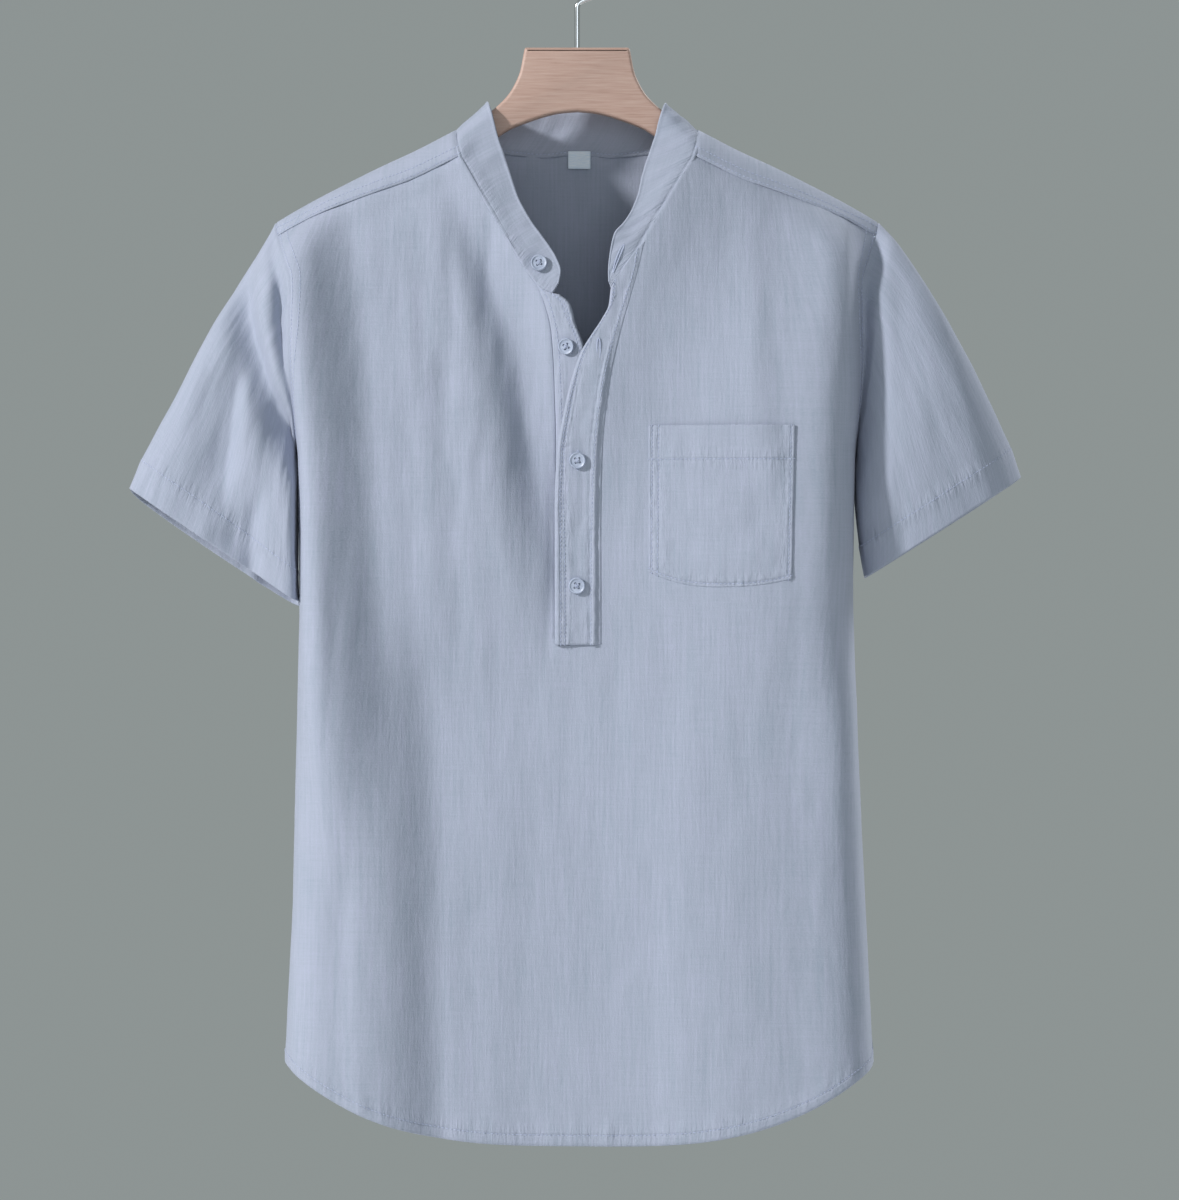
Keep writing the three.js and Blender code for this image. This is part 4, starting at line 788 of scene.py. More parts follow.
@dataclass
class Sleeve:
    """One short sleeve, lofted from the armhole to the cuff."""

    name: str
    sign: int
    drop: float
    lines: Table
    folds: list[Fold]
    creases: list[Fold]
    rumple: float
    around: int = 132
    rows: int = 92
    gap: float = 1.0
    stitch_lines: list[np.ndarray] = field(default_factory=list)

    def ring(self, panels: Panels) -> tuple[np.ndarray, np.ndarray, np.ndarray]:
        """Points, directions and normals evenly round the armhole, from the underarm up the front."""
        front, strip, back = (panels.edges[k, self.sign] for k in ("front", "strip", "back"))
        joined = []
        for part in range(3):
            pieces = [front[part][::-1][:-1], strip[part][1:], back[part][1:-1]]
            joined.append(np.concatenate(pieces))
        points = np.concatenate([joined[0], joined[0][:1]])
        along = np.concatenate([[0], np.cumsum(np.linalg.norm(np.diff(points, axis=0), axis=1))])
        even = np.linspace(0, along[-1], self.around + 1)[:-1]
        out = []
        for values in joined:
            closed = np.concatenate([values, values[:1]])
            out.append(np.stack([np.interp(even, along, closed[:, c]) for c in range(3)], axis=1))
        return out[0], out[1], out[2]

    def at(self, s: np.ndarray, arm: np.ndarray) -> np.ndarray:
        """Points of the sleeve at shares s of its length, for points round the armhole."""
        start = {key: float(values[0]) for key, values in self.lines.values.items()}
        down = np.clip((arm[..., 2] - start["outZ"]) / (start["inZ"] - start["outZ"]), 0, 1)
        face = np.where(arm[..., 1] < 0, -1.0, 1.0)

        def across(axis: str) -> np.ndarray:
            """A coordinate of the plain sleeve between its outer fold and its underarm line."""
            return mix(self.lines.read("s", "out" + axis, s), self.lines.read("s", "in" + axis, s), down)

        first = {axis: mix(start["out" + axis], start["in" + axis], down) for axis in "XZ"}
        loose = 1 - np.exp(-s / 0.12)
        x = self.sign * mix(np.abs(arm[..., 0]) + self.gap + across("X") - first["X"], across("X"), loose)
        z = mix(arm[..., 2] + across("Z") - first["Z"], across("Z"), loose)
        rounding = (2 * np.sqrt(down * (1 - down))) ** mix(0.55, 0.28, down)
        depth = mix(np.abs(arm[..., 1]), self.lines.read("s", "depth", s) * rounding, loose)
        held = smoothstep(s, 0, 0.08) * smoothstep(rounding, 0, 0.5)
        fold = sum(f.lift(x, z) for f in self.folds)
        small = sum(f.lift(x, z) for f in self.creases)
        fold = np.where(face < 0, fold + small, 0.5 * fold)
        low = np.where(face > 0, self.drop * s * s * rounding, 0.0)
        return np.stack([x, face * (depth + fold * held), z - low], axis=-1)

    def build(self, panels: Panels) -> bpy.types.Object:
        """Makes the sleeve's wall."""
        arm, out, normal = self.ring(panels)
        s = (np.linspace(0, 1, self.rows + 1) ** 1.1)[:, None]
        points = self.at(s + 0.004, arm[None])
        tucked = [arm - out * 2.4 - normal * 1.05, arm - out * 0.4 - normal * 0.95]
        points = np.concatenate([np.stack(tucked), points])
        points = np.concatenate([points, points[:, :1]], axis=1)
        down = length_along(points, 0)
        around = length_along(points, 1)
        from_cuff = down[-1:] - down
        u = around - around[:, self.around // 2][:, None]
        seed = 21.0 if self.sign < 0 else 31.0
        closed = np.linspace(0, 2 * math.pi, self.around + 1)[None, :] * np.ones_like(down)
        circle = 60.0
        cx, cy = circle * np.cos(closed), circle * np.sin(closed)

        def dents(across: float, along: float) -> np.ndarray:
            """Soft dents of one size around the sleeve and down it, in mm."""
            flat = [noise.noise((a / across, b / across, c / along + seed)) for a, b, c in
                    zip(cx.ravel(), cy.ravel(), down.ravel())]
            return np.array(flat).reshape(down.shape)

        lift = dents(22, 60) * self.rumple
        lift += dents(9, 26) * 0.45 * self.rumple
        lift += 0.25 * smoothstep(23.0 - from_cuff, 0, 1.6)
        puckers = np.array([noise.noise((a / 4, b / 4, seed + 9)) for a, b in
                            zip(cx.ravel(), cy.ravel())]).reshape(down.shape)
        lift += np.exp(-((from_cuff - 22) / 8) ** 2) * 1.0 * puckers
        lift *= smoothstep(down, 2.5, 12.0)
        normals = Grid.normals(points, self.sign)
        normals[:, 0] = normals[:, -1] = (normals[:, 0] + normals[:, -1]) / 2
        points = points + normals * lift[..., None]
        stitch = np.abs(from_cuff - 22) + 0.6
        cloth = np.stack([u, -down, stitch], axis=-1)
        self.stitch_lines.append(inset_line(points, normals, "bottom", 22.0, CLOTH / 2 + 0.1))
        return cloth_wall(self.name, [Grid(points, cloth)], CLOTH, self.sign)


@dataclass
class CollarStand:
    """The stand collar: one band round the neck from the buttoned end to the buttonhole end."""

    columns: int = 300
    rows: int = 30
    stitch_lines: list[np.ndarray] = field(default_factory=list)
    table: Table = field(init=False)

    def __post_init__(self) -> None:
        """Places the seam's stations on the body and works out the free edge."""
        rows = []
        for k, (x, z, top_x, top_z, lean, behind) in enumerate(COLLAR_ROWS):
            if behind:
                arc, _ = FORM.place(x, FORM.shoulder(np.array(float(x))) - FORM.drop(z))
                seam = FORM.point(1, arc, z)
            else:
                seam = FORM.front(np.array(float(x)), np.array(float(z)), L if x < 0 else R)
            rows.append((k, *seam, top_x, seam[1] + lean, top_z))
        self.table = Table("k x y z tx ty tz", rows)

    def at(self, k: np.ndarray, up: np.ndarray) -> np.ndarray:
        """Points of the collar at a station and a share of its height."""
        seam = np.stack([self.table.read("k", c, k) for c in ("x", "y", "z")], axis=-1)
        top = np.stack([self.table.read("k", c, k) for c in ("tx", "ty", "tz")], axis=-1)
        return seam + (top - seam) * up[..., None]

    def build(self) -> bpy.types.Object:
        """Makes the collar's wall, with its lower edge just over the neckline."""
        k = np.linspace(0, len(COLLAR_ROWS) - 1, self.columns + 1)[None, :] * np.ones((self.rows + 1, 1))
        up = np.linspace(1, -0.035, self.rows + 1)[:, None] * np.ones_like(k)
        points = self.at(k, up)
        normals = Grid.normals(points, 1)
        along = length_along(points, 1)
        # The seam shows most over the shoulders and fades towards both ends of the opening
        shows = smoothstep(k, 3.5, 8) * (1 - 0.6 * smoothstep(k, 31, 35))
        lift = mix(0.1, 0.6, shows) * (1 - smoothstep(up, -0.04, 0.3)) - 0.55 * smoothstep(up, 0.94, 1.0)
        fade = smoothstep(np.minimum(k, len(COLLAR_ROWS) - 1 - k), 0, 1.5)
        lift += fade * (0.75 * ripple(along / 17, up * 1.1, 41.0)
                        + 0.35 * ripple(along / 7, up * 1.6, 42.0))
        points = points + normals * lift[..., None]
        height = length_along(points, 0)
        low = height[-1:] - height
        stitch = np.abs(low - 2.2) + 1.2 * (1 - shows)
        cloth = np.stack([along, -height, stitch], axis=-1)
        self.stitch_lines.append(inset_line(points, normals, "bottom", 2.2, BAND / 2 + 0.1))
        return cloth_wall("collar_cloth", [Grid(points, cloth)], BAND, 1)


@dataclass
class Placket:
    """One placket strip, between its free edge and the seam on its side of the front."""

    name: str
    edge: Table
    seam: Table
    first: float
    flap: Flap
    lift: float
    reach: float
    low_reach: float
    rows_at: tuple[float, ...] = (4.3, 7.4, 23.5)
    columns: int = 44
    rows: int = 170
    stitch_lines: list[np.ndarray] = field(default_factory=list)

    def build(self) -> bpy.types.Object:
        """Makes the strip's wall."""
        u = np.linspace(0, 1, self.columns + 1)[None, :]
        v = np.linspace(0, 1, self.rows + 1)[:, None]
        seam_v = mix(self.first, 0.5, v)
        edge_x, edge_z = self.edge.read("v", "x", v), self.edge.read("v", "z", v) - self.low_reach * v
        seam_x = self.seam.read("v", "x", seam_v) + self.reach
        seam_z = self.seam.read("v", "z", seam_v) - self.low_reach * v
        share = 1 - u if self.flap is L else u
        # The top edge bows to follow the collar's seam, and lies under it on the right
        bow = (2.4 if self.flap is L else -1.6) * 4 * share * (1 - share) * np.maximum(0, 1 - 8 * v)
        x = mix(edge_x, seam_x, share) - (bow if self.flap is L else -bow) * 0.6
        z = mix(edge_z, seam_z, share) - 0.5 * (1 - v) - bow
        # Rows of stitches draw the strip in between its edges, and puckers run across the outer bands
        band = np.minimum(share, 1 - share) * 31
        puckers = np.exp(-(((band - 5) / 3) ** 2)) * ripple(x / 40, z / 3, 51.0)
        edge_roll = 0.3 * (1 - smoothstep(share, 0.05, 0.15)) - 0.9 * (1 - smoothstep(share, 0, 0.055))
        # The rows show where the strips are closed, and hardly where the opening falls open
        closed = smoothstep(v, 0.25, 0.45)
        shows = mix(0.25, 1.0, closed) if self.flap is R else 0.4
        ease = 0.35 * ripple(x / 8, z / 12, 52.0) + 0.8 * shows * puckers
        sunk = sum(np.exp(-(((share * 31 - row) / 1.2) ** 2)) for row in self.rows_at)
        edge_roll = edge_roll - 0.4 * shows * sunk
        if self.flap is R:
            # The strip leans away from its free edge, and beyond the last row of stitches it steps down to
            # the front, more so the further down the opening it is
            step = mix(0.25, 1.0, closed)
            height = mix(0.55, self.lift, smoothstep(v, 0.12, 0.36)) * smoothstep(v, -0.05, 0.05)
            height = height + step * (0.9 * (1 - smoothstep(share, 0.1, 0.8))
                                      + 0.55 * smoothstep(share, 0.76, 0.86))
            wander = 0.014 * ripple(x / 200, z / 9, 53.0)
            start = mix(0.3, 0.875, closed)
            height = mix(height, mix(0.0, 0.3, closed),
                         smoothstep(share + wander, start, mix(0.95, 0.925, closed)))
        else:
            height = mix(0.3, self.lift, smoothstep(band, 0.0, 0.1))
        points = FORM.on_front(x, z, self.flap, height + ease * np.minimum(1, 4 * share * (1 - share))
                               + edge_roll)
        normals = Grid.normals(points, 1)
        normals *= -np.sign(np.mean(normals[..., 1]))
        across = length_along(points, 1)
        from_left, from_right = across, across[:, -1:] - across
        from_edge, from_seam = (from_right, from_left) if self.flap is L else (from_left, from_right)
        stitch = np.abs(from_seam - 7.5)
        for row in self.rows_at[:-1]:
            stitch = np.minimum(stitch, np.abs(from_edge - row))
        cloth = np.stack([x, z, stitch + 1.3 * (1 - shows)], axis=-1)
        edge, seam = ("right", "left") if self.flap is L else ("left", "right")
        for border, distance in [(edge, row) for row in self.rows_at[:-1]] + [(seam, 7.5)]:
            self.stitch_lines.append(inset_line(points, normals, border, distance, BAND / 2 + 0.1))
        return cloth_wall(self.name, [Grid(points, cloth)], BAND, 1)


def swept(path: np.ndarray, radius: float, sides: int = 16) -> tuple[np.ndarray, list[list[int]]]:
    """A round rod along a path, with rounded ends.

    Args:
        path: Points along the rod's middle.
        radius: Radius of the rod.
        sides: Number of sides round it.

    Returns:
        Vertices and faces.
    """
    path = np.asarray(path, float)
    tangent = np.gradient(path, axis=0)
    tangent /= np.linalg.norm(tangent, axis=1, keepdims=True)
    start = Vector(tangent[0]).orthogonal().normalized()
    across = np.array(start)
    turn = np.linspace(0, 2 * math.pi, sides, endpoint=False)
    cap = np.linspace(0, math.pi / 2, 5)[:-1]
    rings = [(path[0] - tangent[0] * radius * math.cos(a), tangent[0], radius * math.sin(a))
             for a in cap[1:]]
    rings += [(p, t, radius) for p, t in zip(path, tangent)]
    rings += [(path[-1] + tangent[-1] * radius * math.cos(a), tangent[-1], radius * math.sin(a))
              for a in cap[:0:-1]]
    vertices = []
    for centre, along, size in rings:
        across = across - along * np.dot(across, along)
        across /= np.linalg.norm(across)
        other = np.cross(along, across)
        vertices.append(centre + size * (np.cos(turn)[:, None] * across + np.sin(turn)[:, None] * other))
    vertices = np.concatenate(vertices)
    count = len(rings)
    faces = []
    for k in range(count - 1):
        for s in range(sides):
            n = (s + 1) % sides
            faces.append([k * sides + s, k * sides + n, (k + 1) * sides + n, (k + 1) * sides + s])
    faces.append(list(range(sides))[::-1])
    faces.append([(count - 1) * sides + s for s in range(sides)])
    return vertices, faces


def joined(parts: list[tuple[np.ndarray, list[list[int]]]]) -> tuple[np.ndarray, list[list[int]]]:
    """Puts several lists of vertices and faces together."""
    vertices, faces, start = [], [], 0
    for points, polygons in parts:
        vertices.append(points)
        faces += [[v + start for v in polygon] for polygon in polygons]
        start += len(points)
    return np.concatenate(vertices), faces


@dataclass
class ChestPocket:
    """The patch pocket on the viewer's right of the chest."""

    left: float = 51.8
    right: float = 155.6
    taper: float = 2.4
    top: float = -352.6
    side_left: float = -457.0
    side_right: float = -462.0
    low: float = -468.0
    gape: float = 1.2
    columns: int = 96
    rows: int = 104
    stitch_lines: list[np.ndarray] = field(default_factory=list)

    def build(self) -> bpy.types.Object:
        """Makes the pocket's wall, a little proud of the panel along its right edge."""
        u = np.linspace(0, 1, self.columns + 1)[None, :]
        v = np.linspace(0, 1, self.rows + 1)[:, None]
        x = mix(self.left, self.right - self.taper * v, u)
        side = np.where(u < 0.5, self.side_left, self.side_right)
        bottom = self.low + (side - self.low) * np.abs(2 * u - 1) ** 2.4
        z = mix(self.top, bottom, v)
        lift = 0.35 + self.gape * (1 - v) ** 3 * np.sin(math.pi * u) + 0.75 * smoothstep(u, 0.93, 1.0)
        lift = lift + 0.2 * smoothstep(v, 0.1, 0.0)
        inside = np.minimum(np.minimum(u, 1 - u) * 100, (1 - v) * 110)
        loose = smoothstep(inside, 1.0, 14)
        lift = lift + loose * (0.9 + 0.4 * ripple(x / 30, z / 26, 61.0)
                               + 0.2 * ripple(x / 12, z / 14, 62.0))
        lift = lift + 0.2 * smoothstep(24.8 - (self.top - z), 0, 1.2)
        lift = lift + np.abs(ripple(x / 5, z / 5, 63.0)) * 0.5 * np.exp(-(((inside - 4) / 4) ** 2))
        points = FORM.on_front(x, z, R, lift)
        normals = Grid.normals(points, 1)
        normals *= -np.sign(np.mean(normals[..., 1]))
        stitch = np.minimum(np.abs(self.top - z - 24), np.abs(z - bottom - 2.2))
        stitch = np.minimum(stitch, np.minimum(np.abs(x - x[:, :1] - 2.2), np.abs(x[:, -1:] - x - 2.2)))
        stitch = np.minimum(stitch, np.abs(x - x[:, :1] - 7))
        cloth = np.stack([x, z, stitch], axis=-1)
        lift_off = CLOTH / 2 + 0.1
        for border, distance in (("left", 2.2), ("left", 7.0), ("right", 2.2), ("bottom", 2.2),
                                 ("top", 24.0)):
            self.stitch_lines.append(inset_line(points, normals, border, distance, lift_off))
        return cloth_wall("chest_pocket_cloth", [Grid(points, cloth)], CLOTH, 1)


@dataclass
class NeckLabel:
    """The small blank label inside the back of the neck."""

    left: float = -6.5
    right: float = 9.5
    top: float = -148.5
    low: float = -161.0
    thickness: float = 0.6

    def build(self) -> bpy.types.Object:
        """Makes the label's wall, in front of the inside of the back."""
        u = np.linspace(0, 1, 17)[None, :]
        v = np.linspace(0, 1, 13)[:, None]
        x = mix(self.left, self.right, u) * np.ones_like(v)
        z = mix(self.top, self.low, v) * np.ones_like(u)
        arc, angle = FORM.place(x, z)
        points = FORM.point(1, arc, angle)
        room = CLOTH / 2 + self.thickness / 2 + 0.9
        points[..., 1] -= room + 1.5 * v + 0.4 * np.sin(math.pi * u) * v
        cloth = np.stack([x, z, np.full_like(x, 9.0)], axis=-1)
        return cloth_wall("neck_label_cloth", [Grid(points, cloth)], self.thickness, -1)


@dataclass
class Button:
    """A four-hole shirt button sewn with a cross of thread."""

    name: str
    here: np.ndarray
    normal: np.ndarray
    turn: float = 0.0
    radius: float = 6.0
    height: float = 2.6
    hole: float = 0.8
    spread: float = 1.5

    def turned(self) -> np.ndarray:
        """The matrix from the button's own frame to the shirt's, as three columns."""
        up = np.array([0.0, 0, 1])
        side = np.cross(up, self.normal)
        side /= np.linalg.norm(side)
        other = np.cross(self.normal, side)
        c, s = math.cos(self.turn), math.sin(self.turn)
        return np.stack([side * c + other * s, other * c - side * s, self.normal], axis=1)

    def placed(self, points: np.ndarray) -> np.ndarray:
        """Points of the button's own frame in the shirt's."""
        return points @ self.turned().T + self.here

    def build(self) -> bpy.types.Object:
        """Makes the button: a turned disc with a rounded rim and a dished face, drilled four times."""
        r, h = self.radius, self.height
        profile = [(0, 0), (r - 1.3, 0), (r - 0.7, 0.12), (r - 0.25, 0.5), (r, 1.15), (r - 0.06, h - 0.75)]
        profile += [(r - 0.3, h - 0.25), (r - 0.65, h), (r - 0.95, h - 0.05), (r - 1.3, h - 0.4)]
        profile += [(r - 1.6, h - 0.65), (r - 2.0, h - 0.7), (1.6, h - 0.65), (0, h - 0.65)]
        steps = 64
        turn = np.linspace(0, 2 * math.pi, steps, endpoint=False)
        vertices = [np.array([[0, 0, 0]])]
        for distance, height in profile[1:-1]:
            ring = [distance * np.cos(turn), distance * np.sin(turn), np.full(steps, height)]
            vertices.append(np.stack(ring, axis=1))
        vertices.append(np.array([[0, 0, profile[-1][1]]]))
        faces = [[0, 1 + (s + 1) % steps, 1 + s] for s in range(steps)]
        rings = len(profile) - 2
        for k in range(rings - 1):
            for s in range(steps):
                n = (s + 1) % steps
                a = 1 + k * steps
                faces.append([a + s, a + n, a + steps + n, a + steps + s])
        last = 1 + (rings - 1) * steps
        faces += [[last + s, last + (s + 1) % steps, last + steps] for s in range(steps)]
        blank = mesh_object(self.name, self.placed(np.concatenate(vertices)), faces)
        drills = []
        for x, y in ((-1, -1), (-1, 1), (1, -1), (1, 1)):
            path = np.array([[x * self.spread, y * self.spread, z] for z in (-2.0, 0.0, 2.0, 4.0, 5.0)])
            drills.append(swept(path, self.hole, 20))
        vertices, faces = joined(drills)
        drill = mesh_object("drill", self.placed(vertices), faces)
        cut = blank.modifiers.new("holes", "BOOLEAN")
        cut.operation = "DIFFERENCE"
        cut.solver = "EXACT"
        cut.object = drill
        bake(blank)
        bpy.data.objects.remove(drill)
        blank.data.set_sharp_from_angle(angle=math.radians(38))
        return blank

    def thread(self) -> tuple[np.ndarray, list[list[int]]]:
        """The cross of thread over the face and down through the holes."""
        parts = []
        a, top = self.spread, self.height - 0.65
        for k, side in enumerate((-1, 1)):
            high = top + 0.22 + 0.25 * k
            for shift in (-0.18, 0.18):
                steps = np.linspace(-1, 1, 13)
                along = steps * a
                level = np.where(np.abs(steps) > 0.99, 0.2, high + 0.25 * (1 - steps**2))
                path = np.stack([along + shift * 0.7, side * along - side * shift * 0.7, level], axis=1)
                parts.append(swept(path, 0.2, 8))
        vertices, faces = joined(parts)
        return self.placed(vertices), faces


@dataclass
class HangerBoard:
    """The flat wooden hanger with a raised neck."""

    thickness: float = 13.0
    rounding: float = 2.6
    top: float = -76.0
    tip_x: float = 203.0
    clear: Table = field(default_factory=lambda: Table("x down", [
        (88, 3.4), (106, 2.2), (150, 2.1), (180, 3), (203, 4.6),
    ]))

    def outline(self) -> np.ndarray:
        """The board's outline in x and z, all the way round."""
        neck = [(38.2, -76), (39.6, -84), (42.4, -96), (49.5, -109.5), (59.5, -119.8), (70, -127.6),
                (80, -134)]
        under = [
            (198, -209.5), (170, -199), (144, -187.5), (116, -174.5), (88, -160), (66, -146.5),
            (53, -137.8),
            (46, -134), (30, -128), (15, -123.9), (0, -122.4),
        ]
        upper = [(x, float(FORM.shoulder(x) - self.clear.read("x", "down", x))) for x in range(90, 199, 12)]
        tip = float(FORM.shoulder(self.tip_x))
        end = [(self.tip_x - 3, float(FORM.shoulder(self.tip_x - 3)) - 4.4), (self.tip_x, tip - 7.0),
               (self.tip_x + 0.5, tip - 10.5)]
        corners = np.array(neck + upper + end + under, float)
        fine = self.smoothed(corners, 3.0)
        straight = np.array([(x, self.top) for x in np.linspace(0, 36, 10)])
        corner = np.array([(36.9, -76.05), (37.7, -76.35), (38.25, -77.1)])
        right = np.concatenate([straight, corner, fine[1:]])
        left = right[1:-1][::-1] * np.array([-1, 1])
        return np.concatenate([right, left])

    @staticmethod
    def smoothed(corners: np.ndarray, step: float) -> np.ndarray:
        """A smooth line through points, with points at about a step along it."""
        padded = np.concatenate([[2 * corners[0] - corners[1]], corners, [2 * corners[-1] - corners[-2]]])
        out = []
        for a, b, c, d in zip(padded, padded[1:], padded[2:], padded[3:]):
            count = max(1, int(np.linalg.norm(c - b) / step))
            for t in np.arange(count) / count:
                out.append(0.5 * (2 * b + (c - a) * t + (2 * a - 5 * b + 4 * c - d) * t**2
                                  + (3 * b - a - 3 * c + d) * t**3))
        return np.array(out + [corners[-1]])

    def build(self) -> bpy.types.Object:
        """Makes the board, with all its long edges rounded."""
        line = self.outline()
        along = np.roll(line, -1, axis=0) - np.roll(line, 1, axis=0)
        along /= np.linalg.norm(along, axis=1, keepdims=True)
        inwards = np.stack([along[:, 1], -along[:, 0]], axis=1)
        half, r = self.thickness / 2, self.rounding
        rings = []
        for a in np.linspace(math.pi / 2, -math.pi / 2, 13):
            depth = half - r + r * math.sin(a) if a > 0 else -(half - r) + r * math.sin(a)
            inset = r * (1 - math.cos(a))
            ring = line + inwards * inset
            rings.append(np.stack([ring[:, 0], np.full(len(line), -depth), ring[:, 1]], axis=1))
        count = len(line)
        faces = []
        for k in range(len(rings) - 1):
            for s in range(count):
                n = (s + 1) % count
                faces.append([k * count + s, (k + 1) * count + s, (k + 1) * count + n, k * count + n])
        faces.append(list(range(count)))
        faces.append([(len(rings) - 1) * count + s for s in range(count)][::-1])
        board = mesh_object("hanger_board_wood", np.concatenate(rings), faces)
        board.data.set_sharp_from_angle(angle=math.radians(40))
        return board


@dataclass
class Hook:
    """The swivel hook of round wire that the hanger hangs from."""

    wire: float = 2.1
    inside: float = 20.0
    shank_top: float = -47.0
    foot: float = -89.0
    join: float = -50.0
    end: float = 205.0

    def on_ring(self, degrees: float) -> np.ndarray:
        """A point of the wire's middle on the hook's round."""
        turn = math.radians(degrees)
        radius = self.inside + self.wire
        return np.array([radius * math.cos(turn), 0, -self.inside + radius * math.sin(turn)])

    def build(self) -> bpy.types.Object:
        """Makes the wire, from its foot inside the board to its open end."""
        join = self.on_ring(self.join)
        along = self.on_ring(self.join + 1) - join
        along /= np.linalg.norm(along)
        a, b = np.array([0, 0, self.shank_top]), np.array([0, 0, self.shank_top + 7])
        c = join - along * 7
        t = np.linspace(0, 1, 14)[1:, None]
        bend = (1 - t) ** 3 * a + 3 * (1 - t) ** 2 * t * b + 3 * (1 - t) * t**2 * c + t**3 * join
        shank = np.stack([np.zeros(8), np.zeros(8), np.linspace(self.foot, self.shank_top, 8)], axis=1)
        ring = np.array([self.on_ring(d) for d in np.arange(self.join + 4, self.end + 0.1, 3.5)])
        vertices, faces = swept(np.concatenate([shank, bend, ring]), self.wire, 28)
        return mesh_object("hanger_hook_metal", vertices, faces)


def bake(obj: bpy.types.Object) -> None:
    """Turns an object's modifiers into its own mesh."""
    bpy.context.view_layer.update()
    evaluated = obj.evaluated_get(bpy.context.evaluated_depsgraph_get())
    mesh = bpy.data.meshes.new_from_object(evaluated)
    obj.modifiers.clear()
    obj.data = mesh
    mesh.name = obj.name


def add(tree: bpy.types.NodeTree, kind: str, inputs: dict | None = None, **settings) -> bpy.types.Node:
    """Adds one node to a tree.

    Args:
        tree: The node tree.
        kind: The node's type name.
        inputs: For each input, by name or number, an output socket to connect or a constant to set.
        **settings: The node's own properties.

    Returns:
        The node.
    """
    node = tree.nodes.new(kind)
    for name, value in settings.items():
        setattr(node, name, value)
    for name, value in (inputs or {}).items():
        if isinstance(value, bpy.types.NodeSocket):
            tree.links.new(value, node.inputs[name])
        else:
            node.inputs[name].default_value = value
    return node


@dataclass
class StitchRows:
    """Rows of stitches laid along lines on the cloth by Geometry Nodes."""

    spacing: float = 3.0
    length: float = 2.2
    thread: float = 0.3
    seed: int = 5

    def tree(self) -> bpy.types.NodeTree:
        """Builds the node tree that puts one stitch at each step along every line."""
        tree = bpy.data.node_groups.new("Stitches along lines", "GeometryNodeTree")
        face = tree.interface
        face.new_socket("Geometry", in_out="INPUT", socket_type="NodeSocketGeometry")
        for name, kind, value in (
            ("Spacing", "NodeSocketFloat", self.spacing * MM),
            ("Length", "NodeSocketFloat", self.length * MM),
            ("Thread", "NodeSocketFloat", self.thread * MM), ("Seed", "NodeSocketInt", self.seed),
        ):
            face.new_socket(name, in_out="INPUT", socket_type=kind).default_value = value
        face.new_socket("Material", in_out="INPUT", socket_type="NodeSocketMaterial")
        face.new_socket("Geometry", in_out="OUTPUT", socket_type="NodeSocketGeometry")
        start = add(tree, "NodeGroupInput").outputs
        line = add(tree, "GeometryNodeMeshToCurve", {"Mesh": start["Geometry"]})
        along = {"Curve": line.outputs["Curve"], "Length": start["Spacing"]}
        points = add(tree, "GeometryNodeCurveToPoints", along, mode="LENGTH")
        ball = add(tree, "GeometryNodeMeshUVSphere", {"Segments": 6, "Rings": 5, "Radius": 1.0})
        half = add(tree, "ShaderNodeMath", {0: start["Length"], 1: 0.5}, operation="MULTIPLY")
        spread = add(tree, "FunctionNodeRandomValue", {2: 0.85, 3: 1.12, "Seed": start["Seed"]})
        long = add(tree, "ShaderNodeMath", {0: half.outputs[0], 1: spread.outputs[1]}, operation="MULTIPLY")
        size = add(tree, "ShaderNodeCombineXYZ",
                   {"X": start["Thread"], "Y": start["Thread"], "Z": long.outputs[0]})
        placed = add(tree, "GeometryNodeInstanceOnPoints", {
            "Points": points.outputs["Points"], "Instance": ball.outputs["Mesh"],
            "Rotation": points.outputs["Rotation"], "Scale": size.outputs[0],
        })
        real = add(tree, "GeometryNodeRealizeInstances", {"Geometry": placed.outputs[0]})
        done = add(tree, "GeometryNodeSetMaterial",
                   {"Geometry": real.outputs[0], "Material": start["Material"]})
        add(tree, "NodeGroupOutput", {"Geometry": done.outputs[0]})
        return tree

    def build(self, name: str, lines: list[np.ndarray], material: bpy.types.Material) -> bpy.types.Object:
        """Makes one piece that holds the stitches of several lines.

        Args:
            name: The piece's name.
            lines: Points of each line, in millimetres.
            material: The thread's material.

        Returns:
            The piece, as a plain mesh.
        """
        mesh = bpy.data.meshes.new(name)
        edges, start = [], 0
        for line in lines:
            edges += [(start + k, start + k + 1) for k in range(len(line) - 1)]
            start += len(line)
        mesh.from_pydata((np.concatenate(lines) * MM).tolist(), edges, [])
        obj = bpy.data.objects.new(name, mesh)
        bpy.context.scene.collection.objects.link(obj)
        modifier = obj.modifiers.new("stitches", "NODES")
        tree = self.tree()
        modifier.node_group = tree
        inputs = {i.name: i.identifier for i in tree.interface.items_tree if i.in_out == "INPUT"}
        modifier[inputs["Spacing"]] = self.spacing * MM
        modifier[inputs["Length"]] = self.length * MM
        modifier[inputs["Thread"]] = self.thread * MM
        modifier[inputs["Seed"]] = self.seed
        modifier[inputs["Material"]] = material
        bake(obj)
        return obj


def shaded(name: str, **constants: float) -> tuple[bpy.types.Material, bpy.types.NodeTree, bpy.types.Node]:
    """Makes a material with one shader.

    Args:
        name: The material's name.
        **constants: Values for the shader's own sockets, with _ for a space in their names.

    Returns:
        The material, its node tree and its shader.
    """
    material = bpy.data.materials.new(name)
    material.use_nodes = True
    tree = material.node_tree
    tree.nodes.clear()
    shader = add(tree, "ShaderNodeBsdfPrincipled", {k.replace("_", " "): v for k, v in constants.items()})
    add(tree, "ShaderNodeOutputMaterial", {"Surface": shader.outputs[0]})
    return material, tree, shader


